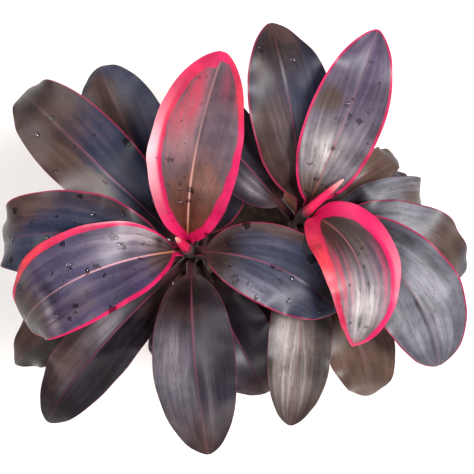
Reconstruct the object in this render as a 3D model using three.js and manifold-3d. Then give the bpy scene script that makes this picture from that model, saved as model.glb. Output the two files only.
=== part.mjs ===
// A potted red ruby dracaena: two leafy canes with plum-dark, pink-edged leaves,
// rooted in a plain clay pot. Millimetres, +Z up, with the origin at the middle
// of the pot's underside.
import * as THREE from "three";
import { mergeVertices } from "three/addons/utils/BufferGeometryUtils.js";
import Module from "manifold-3d";

const wasm = await Module();
wasm.setup();

// Driving dimensions
const GAP = 0.3; // clearance between pieces that touch

const POT_HEIGHT = 150;
const POT_FOOT_RADIUS = 58;
const POT_MOUTH_RADIUS = 84;
const POT_WALL = 5.5;
const POT_FLOOR = 8;
const POT_EDGE = 2; // bevel at the foot and the lip
const RIM_HEIGHT = 30;
const RIM_STEP = 5; // how far the rim band stands out of the wall
const DRAIN_RADIUS = 6;
const DRAIN_CIRCLE = 34; // radius of the circle that the drain holes lie on
const DRAIN_COUNT = 4;
const DRAIN_SIDES = 16;
const ROUND_SIDES = 40;

const SOIL_TOP = 131; // height of the soil at the pot's wall
const SOIL_MOUND = 5; // how much higher it lies in the middle
const SOIL_RINGS = 5;
const SOIL_LUMP = 1.4; // height of the lumps in its surface
const LUMP_LENGTH_X = 24;
const LUMP_LENGTH_Y = 12;
const SOIL_BORDER = 0.25; // share of its radius in which the lumps fade out

const CROWN_HEIGHT = 300; // height of the canes' tips above the pot's underside
const CANE_TILT = 6; // degrees that each cane leans outwards
const CANE_RADIUS = 7; // along the leafy stretch
const CANE_FOOT_RADIUS = 9.5;
const CANE_EDGE = 1.5; // bevel at both ends
const CANE_SIDES = 16;
const LEAFY_STRETCH = 121; // length of cane that carries leaves
const BARE_STRETCH = 50; // from the lowest leaf down to the soil
const BURIED_STRETCH = 62;
const CANE_BOW = 4; // how far the bare stretch bows inwards
const SCAR_COUNT = 5; // rings left on the bare stretch by leaves that fell
const SCAR_RELIEF = 0.8;
const SCAR_WIDTH = 3;

const SPEAR_RADIUS = 4.6; // of the rolled new leaf at a cane's tip
const SPEAR_SIDES = 14;
const SPEAR_ROWS = 8;
const SPEAR_LAP = 0.22; // step at the roll's free margin, as a share of its radius
const SPEAR_TAPER = 0.3; // how much slimmer it is towards its tip
const SPEAR_END = 0.99; // below 1 the tip stays blunt
const SPEAR_BEND = 1.5; // above 1 it leans over later

const FOOT_WALL = 1.6; // thickness of a leaf's foot and stalk
const FOOT_ARC = 32; // degrees of the cane that it clasps to each side
const FOOT_LENGTH = 5;
const FOOT_RADIUS = CANE_RADIUS + GAP + FOOT_WALL / 2;
const TURN_LENGTH = 16; // in which a leaf turns away from its cane
const FIRST_FOOT = 8; // the top leaf's foot lies this far below the cane's tip
const FOOT_SPACING = 9; // from each leaf's foot down to the next one's
const STALK_HALF_WIDTH = 5.5;
const STALK_CURVE = 55; // degrees that the channelled stalk's sides curl up
const BLADE_WALL = 0.8;
const MIDRIB_DEPTH = 1.4; // how far the midrib stands out below, at the stalk

// Shares of a blade's length
const OPENING = 0.25; // in which the stalk's channel opens out flat
const STALK_FADE = 0.62; // in which the stalk's own width fades into the blade
const BANKING = 0.45; // in which the blade rolls to its full bank
const RIPPLE_START = 0.33; // in which the margin's ripples grow from nothing
const RIPPLE_STOP = 0.15; // in which they fade again before the tip
const FOLD_EASE = 0.45; // share of the fold that is gone at the tip

const RIPPLE_SHIFT = 1.9; // radians between the ripples of a leaf's two margins
const RIPPLE_STEP = 2.4; // radians between the ripples of one leaf and the next
const FINE_RIPPLE = 0.35; // share of their height that comes from shorter ripples
const FINE_COUNT = 1.8; // how many of those there are to each long one

const SPINE_STEPS = 160; // for adding up a leaf's curved midrib
const STALK_ROW = 8; // length of one row of facets along the stalk
const BLADE_ROWS = 14;
const TIP_CROWDING = 1.3; // above 1 the blade's rows lie closer towards its tip
const BLADE_END = 0.996; // where the blade's last row lies along it
const HALF_COLUMNS = 2; // columns of facets on each side of the midrib

const CLAY = { color: 0x935c44, roughness: 0.85 };
const EARTH = { color: 0x35271d, roughness: 0.95 };
const BARK = { color: 0x8a7560, roughness: 0.8 };
const PLUM = { color: 0x3d3038, roughness: 0.4 };
const CRIMSON = { color: 0xb8204c, roughness: 0.4 };
const PINK = { color: 0xe5406e, roughness: 0.4 };

// What a leaf has unless its own line below says otherwise. Angles are in
// degrees and headings count from +X towards +Y.
// rise: slope of its stalk. arch: how far the blade bends over in all, and later
// along it where bend is high.
// sway: turn to one side along the blade. bank: roll about the midrib.
// fold: slope of each half at the midrib. curl: how far each half rolls down.
// fillBase, fillTip: taper of the outline at its two ends, blunter where low.
// wave, waves: height and number of the margin's ripples.
const PLAIN_LEAF = {
  rise: 45, arch: 90, bend: 1.6, length: 195, width: 84, stalk: 40, sway: 0, bank: 0,
  fold: 22, curl: 14, fillBase: 0.85, fillTip: 0.72, wave: 3, waves: 2.5,
  paint: PLUM,
};

// x, y: where a cane's tip stands. lean: heading that it tilts towards.
// spear: the rolled leaf's height, and how far and where its tip leans.
// leaves: from the top one down.
const CANES = {
  left: {
    x: -60, y: -17, lean: 200,
    spear: { height: 56, reach: 3, heading: 120 },
    leaves: [
      { heading: 73, rise: 64, arch: 60, length: 215, width: 86, stalk: 16, fold: 20, sway: -4, fillTip: 0.65,
        paint: CRIMSON },
      { heading: 196, rise: 50, arch: 120, bend: 1.3, length: 202, width: 92, stalk: 22, sway: 18,
        paint: CRIMSON },
      { heading: -9, rise: 31, arch: 82, bend: 1.3, length: 158, width: 80, stalk: 28, sway: -32, wave: 1.5 },
      { heading: 172, rise: 41, arch: 119, length: 202, width: 84, stalk: 38, sway: 14, wave: 6 },
      { heading: 277, rise: 40, arch: 80, length: 195, width: 80, stalk: 36 },
      { heading: 136, rise: 40, arch: 98, bend: 1.8, length: 244, width: 82, stalk: 36, wave: 4 },
      { heading: 230, rise: 34, arch: 80, length: 205, width: 68, stalk: 46 },
      { heading: 116, rise: 42, arch: 80, bend: 1.4, length: 202, width: 84, stalk: 44 },
      { heading: -62, rise: 30, arch: 90, length: 140, width: 74, stalk: 46 },
      { heading: 207, rise: 26, arch: 80, length: 202, width: 80, stalk: 50, sway: 8, wave: 6, fillTip: 1 },
      { heading: 70, rise: 48, arch: 50, length: 130, width: 76, stalk: 44 },
      { heading: 251, rise: 16, arch: 60, length: 92, width: 42, stalk: 44 },
      { heading: 155, rise: 8, arch: 80, length: 150, width: 70, stalk: 46 },
    ],
  },
  right: {
    x: 60, y: 20, lean: 20,
    spear: { height: 52, reach: 34, heading: 36 },
    leaves: [
      { heading: -48, rise: 62, arch: 134, bend: 1.1, length: 178, width: 74, stalk: 16, sway: -54,
        fillTip: 1.05, paint: PINK },
      { heading: 71, rise: 60, arch: 60, length: 192, width: 72, stalk: 20 },
      { heading: -33, rise: 24, arch: 76, length: 198, width: 92, stalk: 32, sway: -36, fillTip: 0.7 },
      { heading: 106, rise: 54, arch: 60, length: 185, width: 84, stalk: 32 },
      { heading: 267, rise: 13, arch: 60, length: 182, width: 64, stalk: 44, wave: 1.5 },
      { heading: -13, rise: 28, arch: 105, bend: 1.3, length: 182, width: 86, stalk: 42, sway: -20, wave: 6 },
      { heading: 148, rise: 50, arch: 80, length: 175, width: 72, stalk: 46, sway: -20 },
      { heading: 5, rise: 36, arch: 140, bend: 1.2, length: 150, width: 76, stalk: 46, wave: 5, fillTip: 0.6 },
      { heading: -65, rise: 20, arch: 84, length: 172, width: 76, stalk: 48, wave: 6 },
      { heading: 36, rise: 32, arch: 90, length: 112, width: 36, stalk: 44, fillTip: 0.5 },
      { heading: 242, rise: 14, arch: 76, length: 148, width: 66, stalk: 46 },
      { heading: 20, rise: 8, arch: 84, length: 140, width: 68, stalk: 46 },
      { heading: 282, rise: 14, arch: 66, length: 120, width: 60, stalk: 44 },
    ],
  },
};

const { degToRad, lerp, clamp } = THREE.MathUtils;

// Runs from 0 to 1 as x does, with no kink at either end.
function smooth(x) {
  return THREE.MathUtils.smoothstep(x, 0, 1);
}

// Keeps only positions, with shared corners merged and empty triangles dropped.
function welded(geometry) {
  const bare = geometry.clone();
  bare.deleteAttribute("normal");
  bare.deleteAttribute("uv");
  const merged = mergeVertices(bare, 1e-4);
  const corners = Array.from(merged.index.array);
  const kept = [];
  for (let i = 0; i < corners.length; i += 3) {
    const [a, b, c] = corners.slice(i, i + 3);
    if (a !== b && b !== c && c !== a) {
      kept.push(a, b, c);
    }
  }
  merged.setIndex(kept);
  return merged;
}

function toSolid(geometry) {
  const shape = welded(geometry);
  const vertProperties = new Float32Array(shape.attributes.position.array);
  const triVerts = new Uint32Array(shape.index.array);
  return new wasm.Manifold(new wasm.Mesh({ numProp: 3, vertProperties, triVerts }));
}

function toGeometry(solid) {
  const { vertProperties, triVerts } = solid.getMesh();
  const geometry = new THREE.BufferGeometry();
  geometry.setAttribute("position", new THREE.BufferAttribute(vertProperties, 3));
  geometry.setIndex(new THREE.BufferAttribute(triVerts, 1));
  return geometry;
}

function named(name, geometry, paint) {
  geometry.computeVertexNormals();
  const mesh = new THREE.Mesh(geometry, new THREE.MeshStandardMaterial({ ...paint, metalness: 0 }));
  mesh.name = name;
  return mesh;
}

// Turns an outline of [radius, height] pairs about +Z.
function turned(outline, sides) {
  const points = outline.map(([radius, height]) => new THREE.Vector2(radius, height));
  return welded(new THREE.LatheGeometry(points, sides).rotateX(Math.PI / 2));
}

function wallRadius(height) {
  return lerp(POT_FOOT_RADIUS, POT_MOUTH_RADIUS, height / POT_HEIGHT);
}

function makePot() {
  const rimFoot = POT_HEIGHT - RIM_HEIGHT;
  const outline = [
    [0, 0],
    [POT_FOOT_RADIUS - POT_EDGE, 0],
    [wallRadius(POT_EDGE), POT_EDGE],
    [wallRadius(rimFoot), rimFoot],
    [wallRadius(rimFoot) + RIM_STEP, rimFoot + POT_EDGE],
    [wallRadius(POT_HEIGHT) + RIM_STEP, POT_HEIGHT - POT_EDGE],
    [wallRadius(POT_HEIGHT) + RIM_STEP - POT_EDGE, POT_HEIGHT],
    [wallRadius(POT_HEIGHT) - POT_WALL + POT_EDGE, POT_HEIGHT],
    [wallRadius(POT_HEIGHT) - POT_WALL, POT_HEIGHT - POT_EDGE],
    [wallRadius(POT_FLOOR) - POT_WALL, POT_FLOOR],
    [0, POT_FLOOR],
  ];
  let pot = toSolid(turned(outline, ROUND_SIDES));
  for (let i = 0; i < DRAIN_COUNT; i += 1) {
    const turn = ((i + 0.5) / DRAIN_COUNT) * 2 * Math.PI;
    const hole = new THREE.CylinderGeometry(DRAIN_RADIUS, DRAIN_RADIUS, POT_FLOOR * 3, DRAIN_SIDES)
      .rotateX(Math.PI / 2)
      .translate(DRAIN_CIRCLE * Math.cos(turn), DRAIN_CIRCLE * Math.sin(turn), 0);
    pot = pot.subtract(toSolid(hole));
  }
  return named("pot", toGeometry(pot), CLAY);
}

// Fills the pot up to a low, lumpy mound, with a plain hole for each cane.
function makeSoil(caneGroups) {
  const edge = wallRadius(SOIL_TOP) - POT_WALL - GAP;
  const outline = [
    [0, POT_FLOOR + GAP],
    [wallRadius(POT_FLOOR) - POT_WALL - GAP, POT_FLOOR + GAP],
  ];
  for (let i = 0; i <= SOIL_RINGS; i += 1) {
    const inwards = i / SOIL_RINGS;
    outline.push([edge * (1 - inwards), SOIL_TOP + SOIL_MOUND * smooth(inwards)]);
  }
  const geometry = turned(outline, ROUND_SIDES);
  const place = geometry.attributes.position;
  for (let i = 0; i < place.count; i += 1) {
    const fromEdge = 1 - Math.hypot(place.getX(i), place.getY(i)) / edge;
    if (place.getZ(i) >= SOIL_TOP) {
      const lump = Math.sin(1 + place.getX(i) / LUMP_LENGTH_X) * Math.cos(place.getY(i) / LUMP_LENGTH_Y);
      place.setZ(i, place.getZ(i) + SOIL_LUMP * lump * smooth(fromEdge / SOIL_BORDER));
    }
  }
  let soil = toSolid(geometry);
  for (const group of caneGroups) {
    const radius = CANE_FOOT_RADIUS + GAP;
    const depth = LEAFY_STRETCH + BARE_STRETCH + BURIED_STRETCH + GAP;
    const height = BURIED_STRETCH + BARE_STRETCH / 2;
    const hole = new THREE.CylinderGeometry(radius, radius, height, CANE_SIDES)
      .rotateX(Math.PI / 2)
      .translate(0, 0, height / 2 - depth);
    group.updateMatrixWorld();
    soil = soil.subtract(toSolid(hole.applyMatrix4(group.matrixWorld)));
  }
  return named("soil", toGeometry(soil), EARTH);
}

// The cane's tip is the origin, and it runs down -Z.
function makeCane(name, lean) {
  const length = LEAFY_STRETCH + BARE_STRETCH + BURIED_STRETCH;
  const scarSpacing = BARE_STRETCH / (SCAR_COUNT + 1);
  const outline = [
    [0, -length],
    [CANE_FOOT_RADIUS - CANE_EDGE, -length],
    [CANE_FOOT_RADIUS, CANE_EDGE - length],
    [CANE_FOOT_RADIUS, BURIED_STRETCH - length],
  ];
  for (let i = 1; i <= SCAR_COUNT; i += 1) {
    const height = BURIED_STRETCH - length + i * scarSpacing;
    const radius = lerp(CANE_FOOT_RADIUS, CANE_RADIUS, i / (SCAR_COUNT + 1));
    outline.push([radius - SCAR_RELIEF / 2, height - SCAR_WIDTH / 2]);
    outline.push([radius + SCAR_RELIEF / 2, height]);
    outline.push([radius - SCAR_RELIEF / 2, height + SCAR_WIDTH / 2]);
  }
  outline.push([CANE_RADIUS, -LEAFY_STRETCH]);
  outline.push([CANE_RADIUS, -CANE_EDGE]);
  outline.push([CANE_RADIUS - CANE_EDGE, 0]);
  outline.push([0, 0]);
  const geometry = turned(outline, CANE_SIDES);
  const place = geometry.attributes.position;
  for (let i = 0; i < place.count; i += 1) {
    const along = clamp((-LEAFY_STRETCH - place.getZ(i)) / BARE_STRETCH, 0, 1);
    const bow = (CANE_BOW * (1 - Math.cos(2 * Math.PI * along))) / 2;
    place.setX(i, place.getX(i) - bow * Math.cos(degToRad(lean)));
    place.setY(i, place.getY(i) - bow * Math.sin(degToRad(lean)));
  }
  return named(name, geometry, BARK);
}

// A new leaf, still rolled up, with the step of its free margin along one side.
function makeSpear(name, { height, reach, heading }) {
  const corners = [];
  const faces = [];
  const ring = SPEAR_SIDES + 1;
  for (let row = 0; row <= SPEAR_ROWS; row += 1) {
    const up = row / SPEAR_ROWS;
    const radius = SPEAR_RADIUS * (1 - SPEAR_TAPER * up) * Math.sqrt(1 - (SPEAR_END * up) ** 3);
    const lean = reach * up ** SPEAR_BEND;
    for (let side = 0; side < ring; side += 1) {
      const share = side / SPEAR_SIDES;
      const turn = degToRad(heading) + share * 2 * Math.PI;
      const out = radius * (1 + SPEAR_LAP * share);
      corners.push(
        lean * Math.cos(degToRad(heading)) + out * Math.cos(turn),
        lean * Math.sin(degToRad(heading)) + out * Math.sin(turn),
        GAP + height * up,
      );
    }
  }
  for (let row = 0; row < SPEAR_ROWS; row += 1) {
    for (let side = 0; side < ring; side += 1) {
      const here = row * ring + side;
      const next = row * ring + ((side + 1) % ring);
      faces.push(here, next, next + ring, here, next + ring, here + ring);
    }
  }
  for (let side = 1; side < ring - 1; side += 1) {
    const top = SPEAR_ROWS * ring;
    faces.push(0, side + 1, side);
    faces.push(top, top + side, top + side + 1);
  }
  const geometry = new THREE.BufferGeometry();
  geometry.setAttribute("position", new THREE.Float32BufferAttribute(corners, 3));
  geometry.setIndex(faces);
  return named(name, geometry, PINK);
}

// Half width, slope at the midrib, sideways curl and thickness at s mm from a
// leaf's foot: a clasping foot, then a channelled stalk that opens to the blade.
function leafSection(leaf, s) {
  const along = clamp((s - leaf.stalk) / leaf.length, 0, 1);
  const turnedAway = smooth((s - FOOT_LENGTH) / TURN_LENGTH);
  const opened = smooth(along / OPENING);
  const broadest = leaf.fillBase / (leaf.fillBase + leaf.fillTip);
  const taper = (place) => place ** leaf.fillBase * (1 - place) ** leaf.fillTip;
  const stalkHalf = lerp(FOOT_RADIUS * degToRad(FOOT_ARC), STALK_HALF_WIDTH, turnedAway);
  const stalkCurl = degToRad(lerp(FOOT_ARC, STALK_CURVE, turnedAway));
  return {
    along,
    half: stalkHalf * (1 - smooth(along / STALK_FADE)) + (leaf.width / 2) * (taper(along) / taper(broadest)),
    slope: degToRad(leaf.fold) * (1 - FOLD_EASE * along) * opened,
    curl: lerp(stalkCurl, -degToRad(leaf.curl), opened),
    wall: lerp(FOOT_WALL, BLADE_WALL, opened),
    ridge: MIDRIB_DEPTH * turnedAway * (1 - along),
  };
}

// Midrib points, with the directions across the leaf and out of its upper side.
function leafSpine(leaf) {
  const length = leaf.stalk + leaf.length;
  const point = new THREE.Vector3(FOOT_RADIUS, 0, -leaf.drop);
  point.applyAxisAngle(new THREE.Vector3(0, 0, 1), degToRad(leaf.heading));
  const spine = [];
  let before = null;
  for (let i = 0; i <= SPINE_STEPS; i += 1) {
    const s = (length * i) / SPINE_STEPS;
    const along = clamp((s - leaf.stalk) / leaf.length, 0, 1);
    const turnedAway = smooth((s - FOOT_LENGTH) / TURN_LENGTH);
    const slope = degToRad(lerp(90, leaf.rise, turnedAway) - leaf.arch * along ** leaf.bend);
    const heading = degToRad(leaf.heading + leaf.sway * smooth(along));
    const roll = degToRad(leaf.bank) * smooth(along / BANKING);
    const outwards = new THREE.Vector3(Math.cos(heading), Math.sin(heading), 0);
    const forward = outwards.clone().multiplyScalar(Math.cos(slope)).setZ(Math.sin(slope));
    const level = new THREE.Vector3(-Math.sin(heading), Math.cos(heading), 0);
    const upper = outwards.clone().multiplyScalar(-Math.sin(slope)).setZ(Math.cos(slope));
    if (before) {
      point.addScaledVector(before.add(forward), length / SPINE_STEPS / 2);
    }
    before = forward;
    const across = level.clone().multiplyScalar(Math.cos(roll)).addScaledVector(upper, Math.sin(roll));
    const out = upper.clone().multiplyScalar(Math.cos(roll)).addScaledVector(level, -Math.sin(roll));
    spine.push({ point: point.clone(), across, out });
  }
  return spine;
}

function spineAt(spine, share) {
  const place = clamp(share, 0, 1) * SPINE_STEPS;
  const step = Math.min(Math.floor(place), SPINE_STEPS - 1);
  const mix = (key) => spine[step][key].clone().lerp(spine[step + 1][key], place - step);
  return { point: mix("point"), across: mix("across"), out: mix("out") };
}

// Where the rows of facets cross a leaf, in mm from its foot.
function leafRows(leaf) {
  const stalkRows = Math.ceil(leaf.stalk / STALK_ROW);
  const rows = [];
  for (let i = 0; i < stalkRows; i += 1) {
    rows.push((leaf.stalk * i) / stalkRows);
  }
  for (let i = 0; i <= BLADE_ROWS; i += 1) {
    rows.push(leaf.stalk + leaf.length * BLADE_END * (1 - (1 - i / BLADE_ROWS) ** TIP_CROWDING));
  }
  return rows;
}

// The upper and lower corner of a leaf at one place across one of its rows.
function leafCorners(leaf, frame, section, column) {
  const side = Math.sign(column);
  const outwards = Math.abs(column) / HALF_COLUMNS;
  const tilt = section.slope + section.curl * outwards;
  const flat = Math.abs(section.curl) < 1e-4;
  const reach = flat
    ? outwards * Math.cos(section.slope)
    : (Math.sin(tilt) - Math.sin(section.slope)) / section.curl;
  const height = flat
    ? outwards * Math.sin(section.slope)
    : (Math.cos(section.slope) - Math.cos(tilt)) / section.curl;
  const start = leaf.phase + (side > 0 ? 0 : RIPPLE_SHIFT);
  const turn = 2 * Math.PI * leaf.waves * section.along;
  const ripple = lerp(Math.sin(turn + start), Math.sin(FINE_COUNT * turn + 2 * start), FINE_RIPPLE);
  const fade = smooth(section.along / RIPPLE_START) * smooth((1 - section.along) / RIPPLE_STOP);
  const middle = frame.point
    .clone()
    .addScaledVector(frame.across, side * section.half * reach)
    .addScaledVector(frame.out, section.half * height + leaf.wave * outwards ** 2 * fade * ripple);
  const lift = new THREE.Vector3()
    .addScaledVector(frame.across, -side * Math.sin(tilt))
    .addScaledVector(frame.out, column === 0 ? 1 : Math.cos(tilt));
  const ridge = column === 0 ? section.ridge : 0;
  return {
    upper: middle.clone().addScaledVector(lift, section.wall / 2),
    lower: middle.clone().addScaledVector(lift, -section.wall / 2 - ridge),
  };
}

// Both faces are split alike, mirrored about the midrib, and joined at the edges.
function makeLeaf(name, leaf) {
  const spine = leafSpine(leaf);
  const length = leaf.stalk + leaf.length;
  const across = 2 * HALF_COLUMNS + 1;
  const corners = [];
  const faces = [];
  const rows = leafRows(leaf);
  for (const s of rows) {
    const frame = spineAt(spine, s / length);
    const section = leafSection(leaf, s);
    for (let column = -HALF_COLUMNS; column <= HALF_COLUMNS; column += 1) {
      const { upper, lower } = leafCorners(leaf, frame, section, column);
      corners.push(...upper.toArray(), ...lower.toArray());
    }
  }
  const corner = (row, column, below = false) => 2 * (row * across + column) + (below ? 1 : 0);
  const quad = (a, b, c, d) => faces.push(a, b, c, a, c, d);
  for (let row = 0; row < rows.length - 1; row += 1) {
    for (let column = 0; column < across - 1; column += 1) {
      const shift = column < HALF_COLUMNS ? 1 : 0;
      for (const below of [false, true]) {
        const loop = [
          corner(row, column, below),
          corner(row, column + 1, below),
          corner(row + 1, column + 1, below),
          corner(row + 1, column, below),
        ];
        const shifted = [...loop.slice(shift), ...loop.slice(0, shift)];
        quad(...(below ? shifted : shifted.reverse()));
      }
    }
    const next = row + 1;
    const right = across - 1;
    quad(corner(row, 0), corner(row, 0, true), corner(next, 0, true), corner(next, 0));
    quad(corner(row, right, true), corner(row, right), corner(next, right), corner(next, right, true));
  }
  const end = rows.length - 1;
  for (let column = 0; column < across - 1; column += 1) {
    const next = column + 1;
    quad(corner(0, column, true), corner(0, column), corner(0, next), corner(0, next, true));
    quad(corner(end, column), corner(end, column, true), corner(end, next, true), corner(end, next));
  }
  const geometry = new THREE.BufferGeometry();
  geometry.setAttribute("position", new THREE.Float32BufferAttribute(corners, 3));
  geometry.setIndex(faces);
  return named(name, geometry, leaf.paint);
}

// A cane with its rolled new leaf and its leaves, tilted about the cane's tip.
function makeCrown(side, crown) {
  const group = new THREE.Group();
  group.position.set(crown.x, crown.y, CROWN_HEIGHT);
  const lean = degToRad(crown.lean);
  const hinge = new THREE.Vector3(-Math.sin(lean), Math.cos(lean), 0);
  group.quaternion.setFromAxisAngle(hinge, degToRad(CANE_TILT));
  group.add(makeCane(`${side}_cane`, crown.lean));
  group.add(makeSpear(`${side}_spear`, crown.spear));
  crown.leaves.forEach((leaf, index) => {
    const number = String(index + 1).padStart(2, "0");
    const drop = FIRST_FOOT + index * FOOT_SPACING;
    const phase = index * RIPPLE_STEP;
    group.add(makeLeaf(`${side}_leaf_${number}`, { ...PLAIN_LEAF, ...leaf, drop, phase }));
  });
  return group;
}

const crowns = Object.entries(CANES).map(([side, crown]) => makeCrown(side, crown));
const plant = new THREE.Group();
plant.add(makePot());
plant.add(makeSoil(crowns));
plant.add(...crowns);

export default plant;
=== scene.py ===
"""Potted red ruby dracaena: fine surfaces, finishes, studio and camera.

Sizes are in millimetres up to the point where a mesh is made, which is in metres.
"""
import logging
import math
import random
from dataclasses import dataclass, field
from enum import Enum

import bmesh
import bpy
import numpy as np
from mathutils import Matrix, Vector


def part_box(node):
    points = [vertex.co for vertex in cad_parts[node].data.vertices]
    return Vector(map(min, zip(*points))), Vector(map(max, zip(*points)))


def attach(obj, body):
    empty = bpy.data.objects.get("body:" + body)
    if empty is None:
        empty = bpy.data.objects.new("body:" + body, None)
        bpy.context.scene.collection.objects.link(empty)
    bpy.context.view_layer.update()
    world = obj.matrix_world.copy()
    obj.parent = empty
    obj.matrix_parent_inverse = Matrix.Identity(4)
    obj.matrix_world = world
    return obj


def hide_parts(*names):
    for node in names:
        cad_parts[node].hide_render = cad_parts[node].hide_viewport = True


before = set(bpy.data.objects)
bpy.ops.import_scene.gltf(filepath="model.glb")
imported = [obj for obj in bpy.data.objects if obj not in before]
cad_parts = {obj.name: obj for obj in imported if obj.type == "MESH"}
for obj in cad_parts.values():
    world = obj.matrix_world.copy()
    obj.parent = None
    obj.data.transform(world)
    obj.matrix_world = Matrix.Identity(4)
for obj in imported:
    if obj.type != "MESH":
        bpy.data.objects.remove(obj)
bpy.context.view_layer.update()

LOG = logging.getLogger("dracaena")
MM = 0.001
BODY = "root"

Colour = tuple[float, float, float, float]
Socket = bpy.types.NodeSocket
Value = float | Socket
Faces = list[tuple[int, ...]]


def paint(code: int) -> Colour:
    """Turns a screen colour into the linear colour that shaders use.

    Args:
        code: The colour as a hexadecimal RRGGBB number.

    Returns:
        Red, green, blue and alpha.
    """
    channels = [((code >> shift) & 255) / 255 for shift in (16, 8, 0)]
    linear = [c / 12.92 if c <= 0.04045 else ((c + 0.055) / 1.055) ** 2.4 for c in channels]
    return (linear[0], linear[1], linear[2], 1.0)


def smooth(x: np.ndarray | float) -> np.ndarray:
    """Runs from 0 to 1 as x does, with no kink at either end."""
    x = np.clip(x, 0.0, 1.0)
    return x * x * (3.0 - 2.0 * x)


class Bench:
    """Lays out the nodes of one material."""

    def __init__(self, name: str, roughness: float, ior: float = 1.45) -> None:
        """Starts a material with one shader.

        Args:
            name: The material's name.
            roughness: The shader's roughness where nothing else drives it.
            ior: How strongly the surface reflects.
        """
        self.material = bpy.data.materials.new(name)
        self.material.use_nodes = True
        self.tree = self.material.node_tree
        self.shader = self.tree.nodes["Principled BSDF"]
        self.shader.inputs["Roughness"].default_value = roughness
        self.shader.inputs["IOR"].default_value = ior

    def add(self, kind: str, inputs: dict[str | int, Value], **settings: str) -> bpy.types.Node:
        """Adds a node.

        Args:
            kind: The node's type, without ShaderNode in front.
            inputs: A number, colour or socket for each input, by its name or number.
            **settings: The node's own properties.

        Returns:
            The node.
        """
        node = self.tree.nodes.new("ShaderNode" + kind)
        for key, value in settings.items():
            setattr(node, key, value)
        for key, value in inputs.items():
            if isinstance(value, bpy.types.NodeSocket):
                self.tree.links.new(value, node.inputs[key])
            else:
                node.inputs[key].default_value = value
        return node

    def attribute(self, name: str) -> Socket:
        """Reads a number that the mesh carries at each corner."""
        return self.add("Attribute", {}, attribute_name=name).outputs["Fac"]

    def place(self) -> Socket:
        """Reads the place in the object's own space, in metres."""
        return self.add("TexCoord", {}).outputs["Object"]

    def math(self, operation: str, a: Value, b: Value = 0.0) -> Socket:
        """Joins two numbers by an operation such as MAXIMUM."""
        return self.add("Math", {0: a, 1: b}, operation=operation).outputs[0]

    def plus(self, a: Value, b: Value) -> Socket:
        """Adds two numbers."""
        return self.math("ADD", a, b)

    def minus(self, a: Value, b: Value) -> Socket:
        """Takes b from a."""
        return self.math("SUBTRACT", a, b)

    def times(self, a: Value, b: Value) -> Socket:
        """Multiplies two numbers."""
        return self.math("MULTIPLY", a, b)

    def size(self, a: Value) -> Socket:
        """Drops a number's sign."""
        return self.math("ABSOLUTE", a)

    def larger(self, a: Value, b: Value) -> Socket:
        """Takes the larger of two numbers."""
        return self.math("MAXIMUM", a, b)

    def vector(self, x: Value, y: Value, z: Value) -> Socket:
        """Joins three numbers into one place."""
        return self.add("CombineXYZ", {0: x, 1: y, 2: z}).outputs[0]

    def between(self, value: Value, low: Value, high: Value) -> Socket:
        """Runs softly from 0 at low to 1 at high."""
        inputs = {"Value": value, "From Min": low, "From Max": high}
        return self.add("MapRange", inputs, interpolation_type="SMOOTHSTEP").outputs[0]

    def remap(self, value: Value, low: float, high: float) -> Socket:
        """Turns a share from 0 to 1 into a number from low to high."""
        return self.add("MapRange", {"Value": value, "To Min": low, "To Max": high}).outputs[0]

    def mix(self, share: Value, a: Colour | Socket, b: Colour | Socket) -> Socket:
        """Mixes colour b into colour a."""
        return self.add("Mix", {0: share, 6: a, 7: b}, data_type="RGBA").outputs[2]

    def darken(self, share: Value, a: Colour | Socket, b: Colour | Socket) -> Socket:
        """Multiplies colour b into colour a."""
        inputs = {0: share, 6: a, 7: b}
        return self.add("Mix", inputs, data_type="RGBA", blend_type="MULTIPLY").outputs[2]

    def noise(self, where: Socket, scale: float, detail: float = 3.0, roughness: float = 0.55) -> Socket:
        """Gives soft random blotches, from about 0.2 to 0.8."""
        inputs = {"Vector": where, "Scale": scale, "Detail": detail, "Roughness": roughness}
        return self.add("TexNoise", inputs).outputs[0]

    def cells(self, where: Socket, scale: float) -> bpy.types.Node:
        """Gives the distance to, and a random colour for, scattered points."""
        return self.add("TexVoronoi", {"Vector": where, "Scale": scale})

    def bump(self, height: Socket, depth: float, under: Socket | None = None) -> Socket:
        """Raises the surface by a pattern.

        Args:
            height: The pattern, from 0 to 1.
            depth: Its full height, in millimetres.
            under: A bump that this one lies on.

        Returns:
            The bent normal.
        """
        inputs: dict[str | int, Value] = {"Height": height, "Distance": depth * MM}
        if under is not None:
            inputs["Normal"] = under
        return self.add("Bump", inputs).outputs[0]

    def wire(self, **sockets: Socket) -> bpy.types.Material:
        """Joins sockets to the shader.

        Args:
            **sockets: A socket for each shader input, with _ for each space in its name.

        Returns:
            The finished material.
        """
        for key, socket in sockets.items():
            self.tree.links.new(socket, self.shader.inputs[key.replace("_", " ")])
        return self.material


VEIN_SPREAD = 30.0
VEIN_SLANT = 13.0


def along_veins(bench: Bench, stretch: float, shift: Value = 0.0) -> Socket:
    """Lays out a space that runs along a leaf's veins, for a pattern to lie in.

    Args:
        bench: The material's bench.
        stretch: How fast the pattern changes along the leaf, for each millimetre.
        shift: How far the veins stray sideways.

    Returns:
        The place in that space.
    """
    across = bench.times(bench.size(bench.attribute("span")), VEIN_SPREAD)
    flow = bench.minus(across, bench.times(bench.attribute("along"), VEIN_SLANT))
    reach = bench.times(bench.attribute("reach"), stretch)
    return bench.vector(bench.plus(flow, shift), reach, bench.attribute("seed"))


@dataclass(frozen=True)
class Grain:
    """The patterns that a leaf's colours are mixed with.

    flat is the place on the flattened leaf in millimetres, cloud gives soft patches,
    and streak and vein give broad and fine lines that follow the veins.
    """

    flat: Socket
    cloud: Socket
    streak: Socket
    vein: Socket


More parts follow.
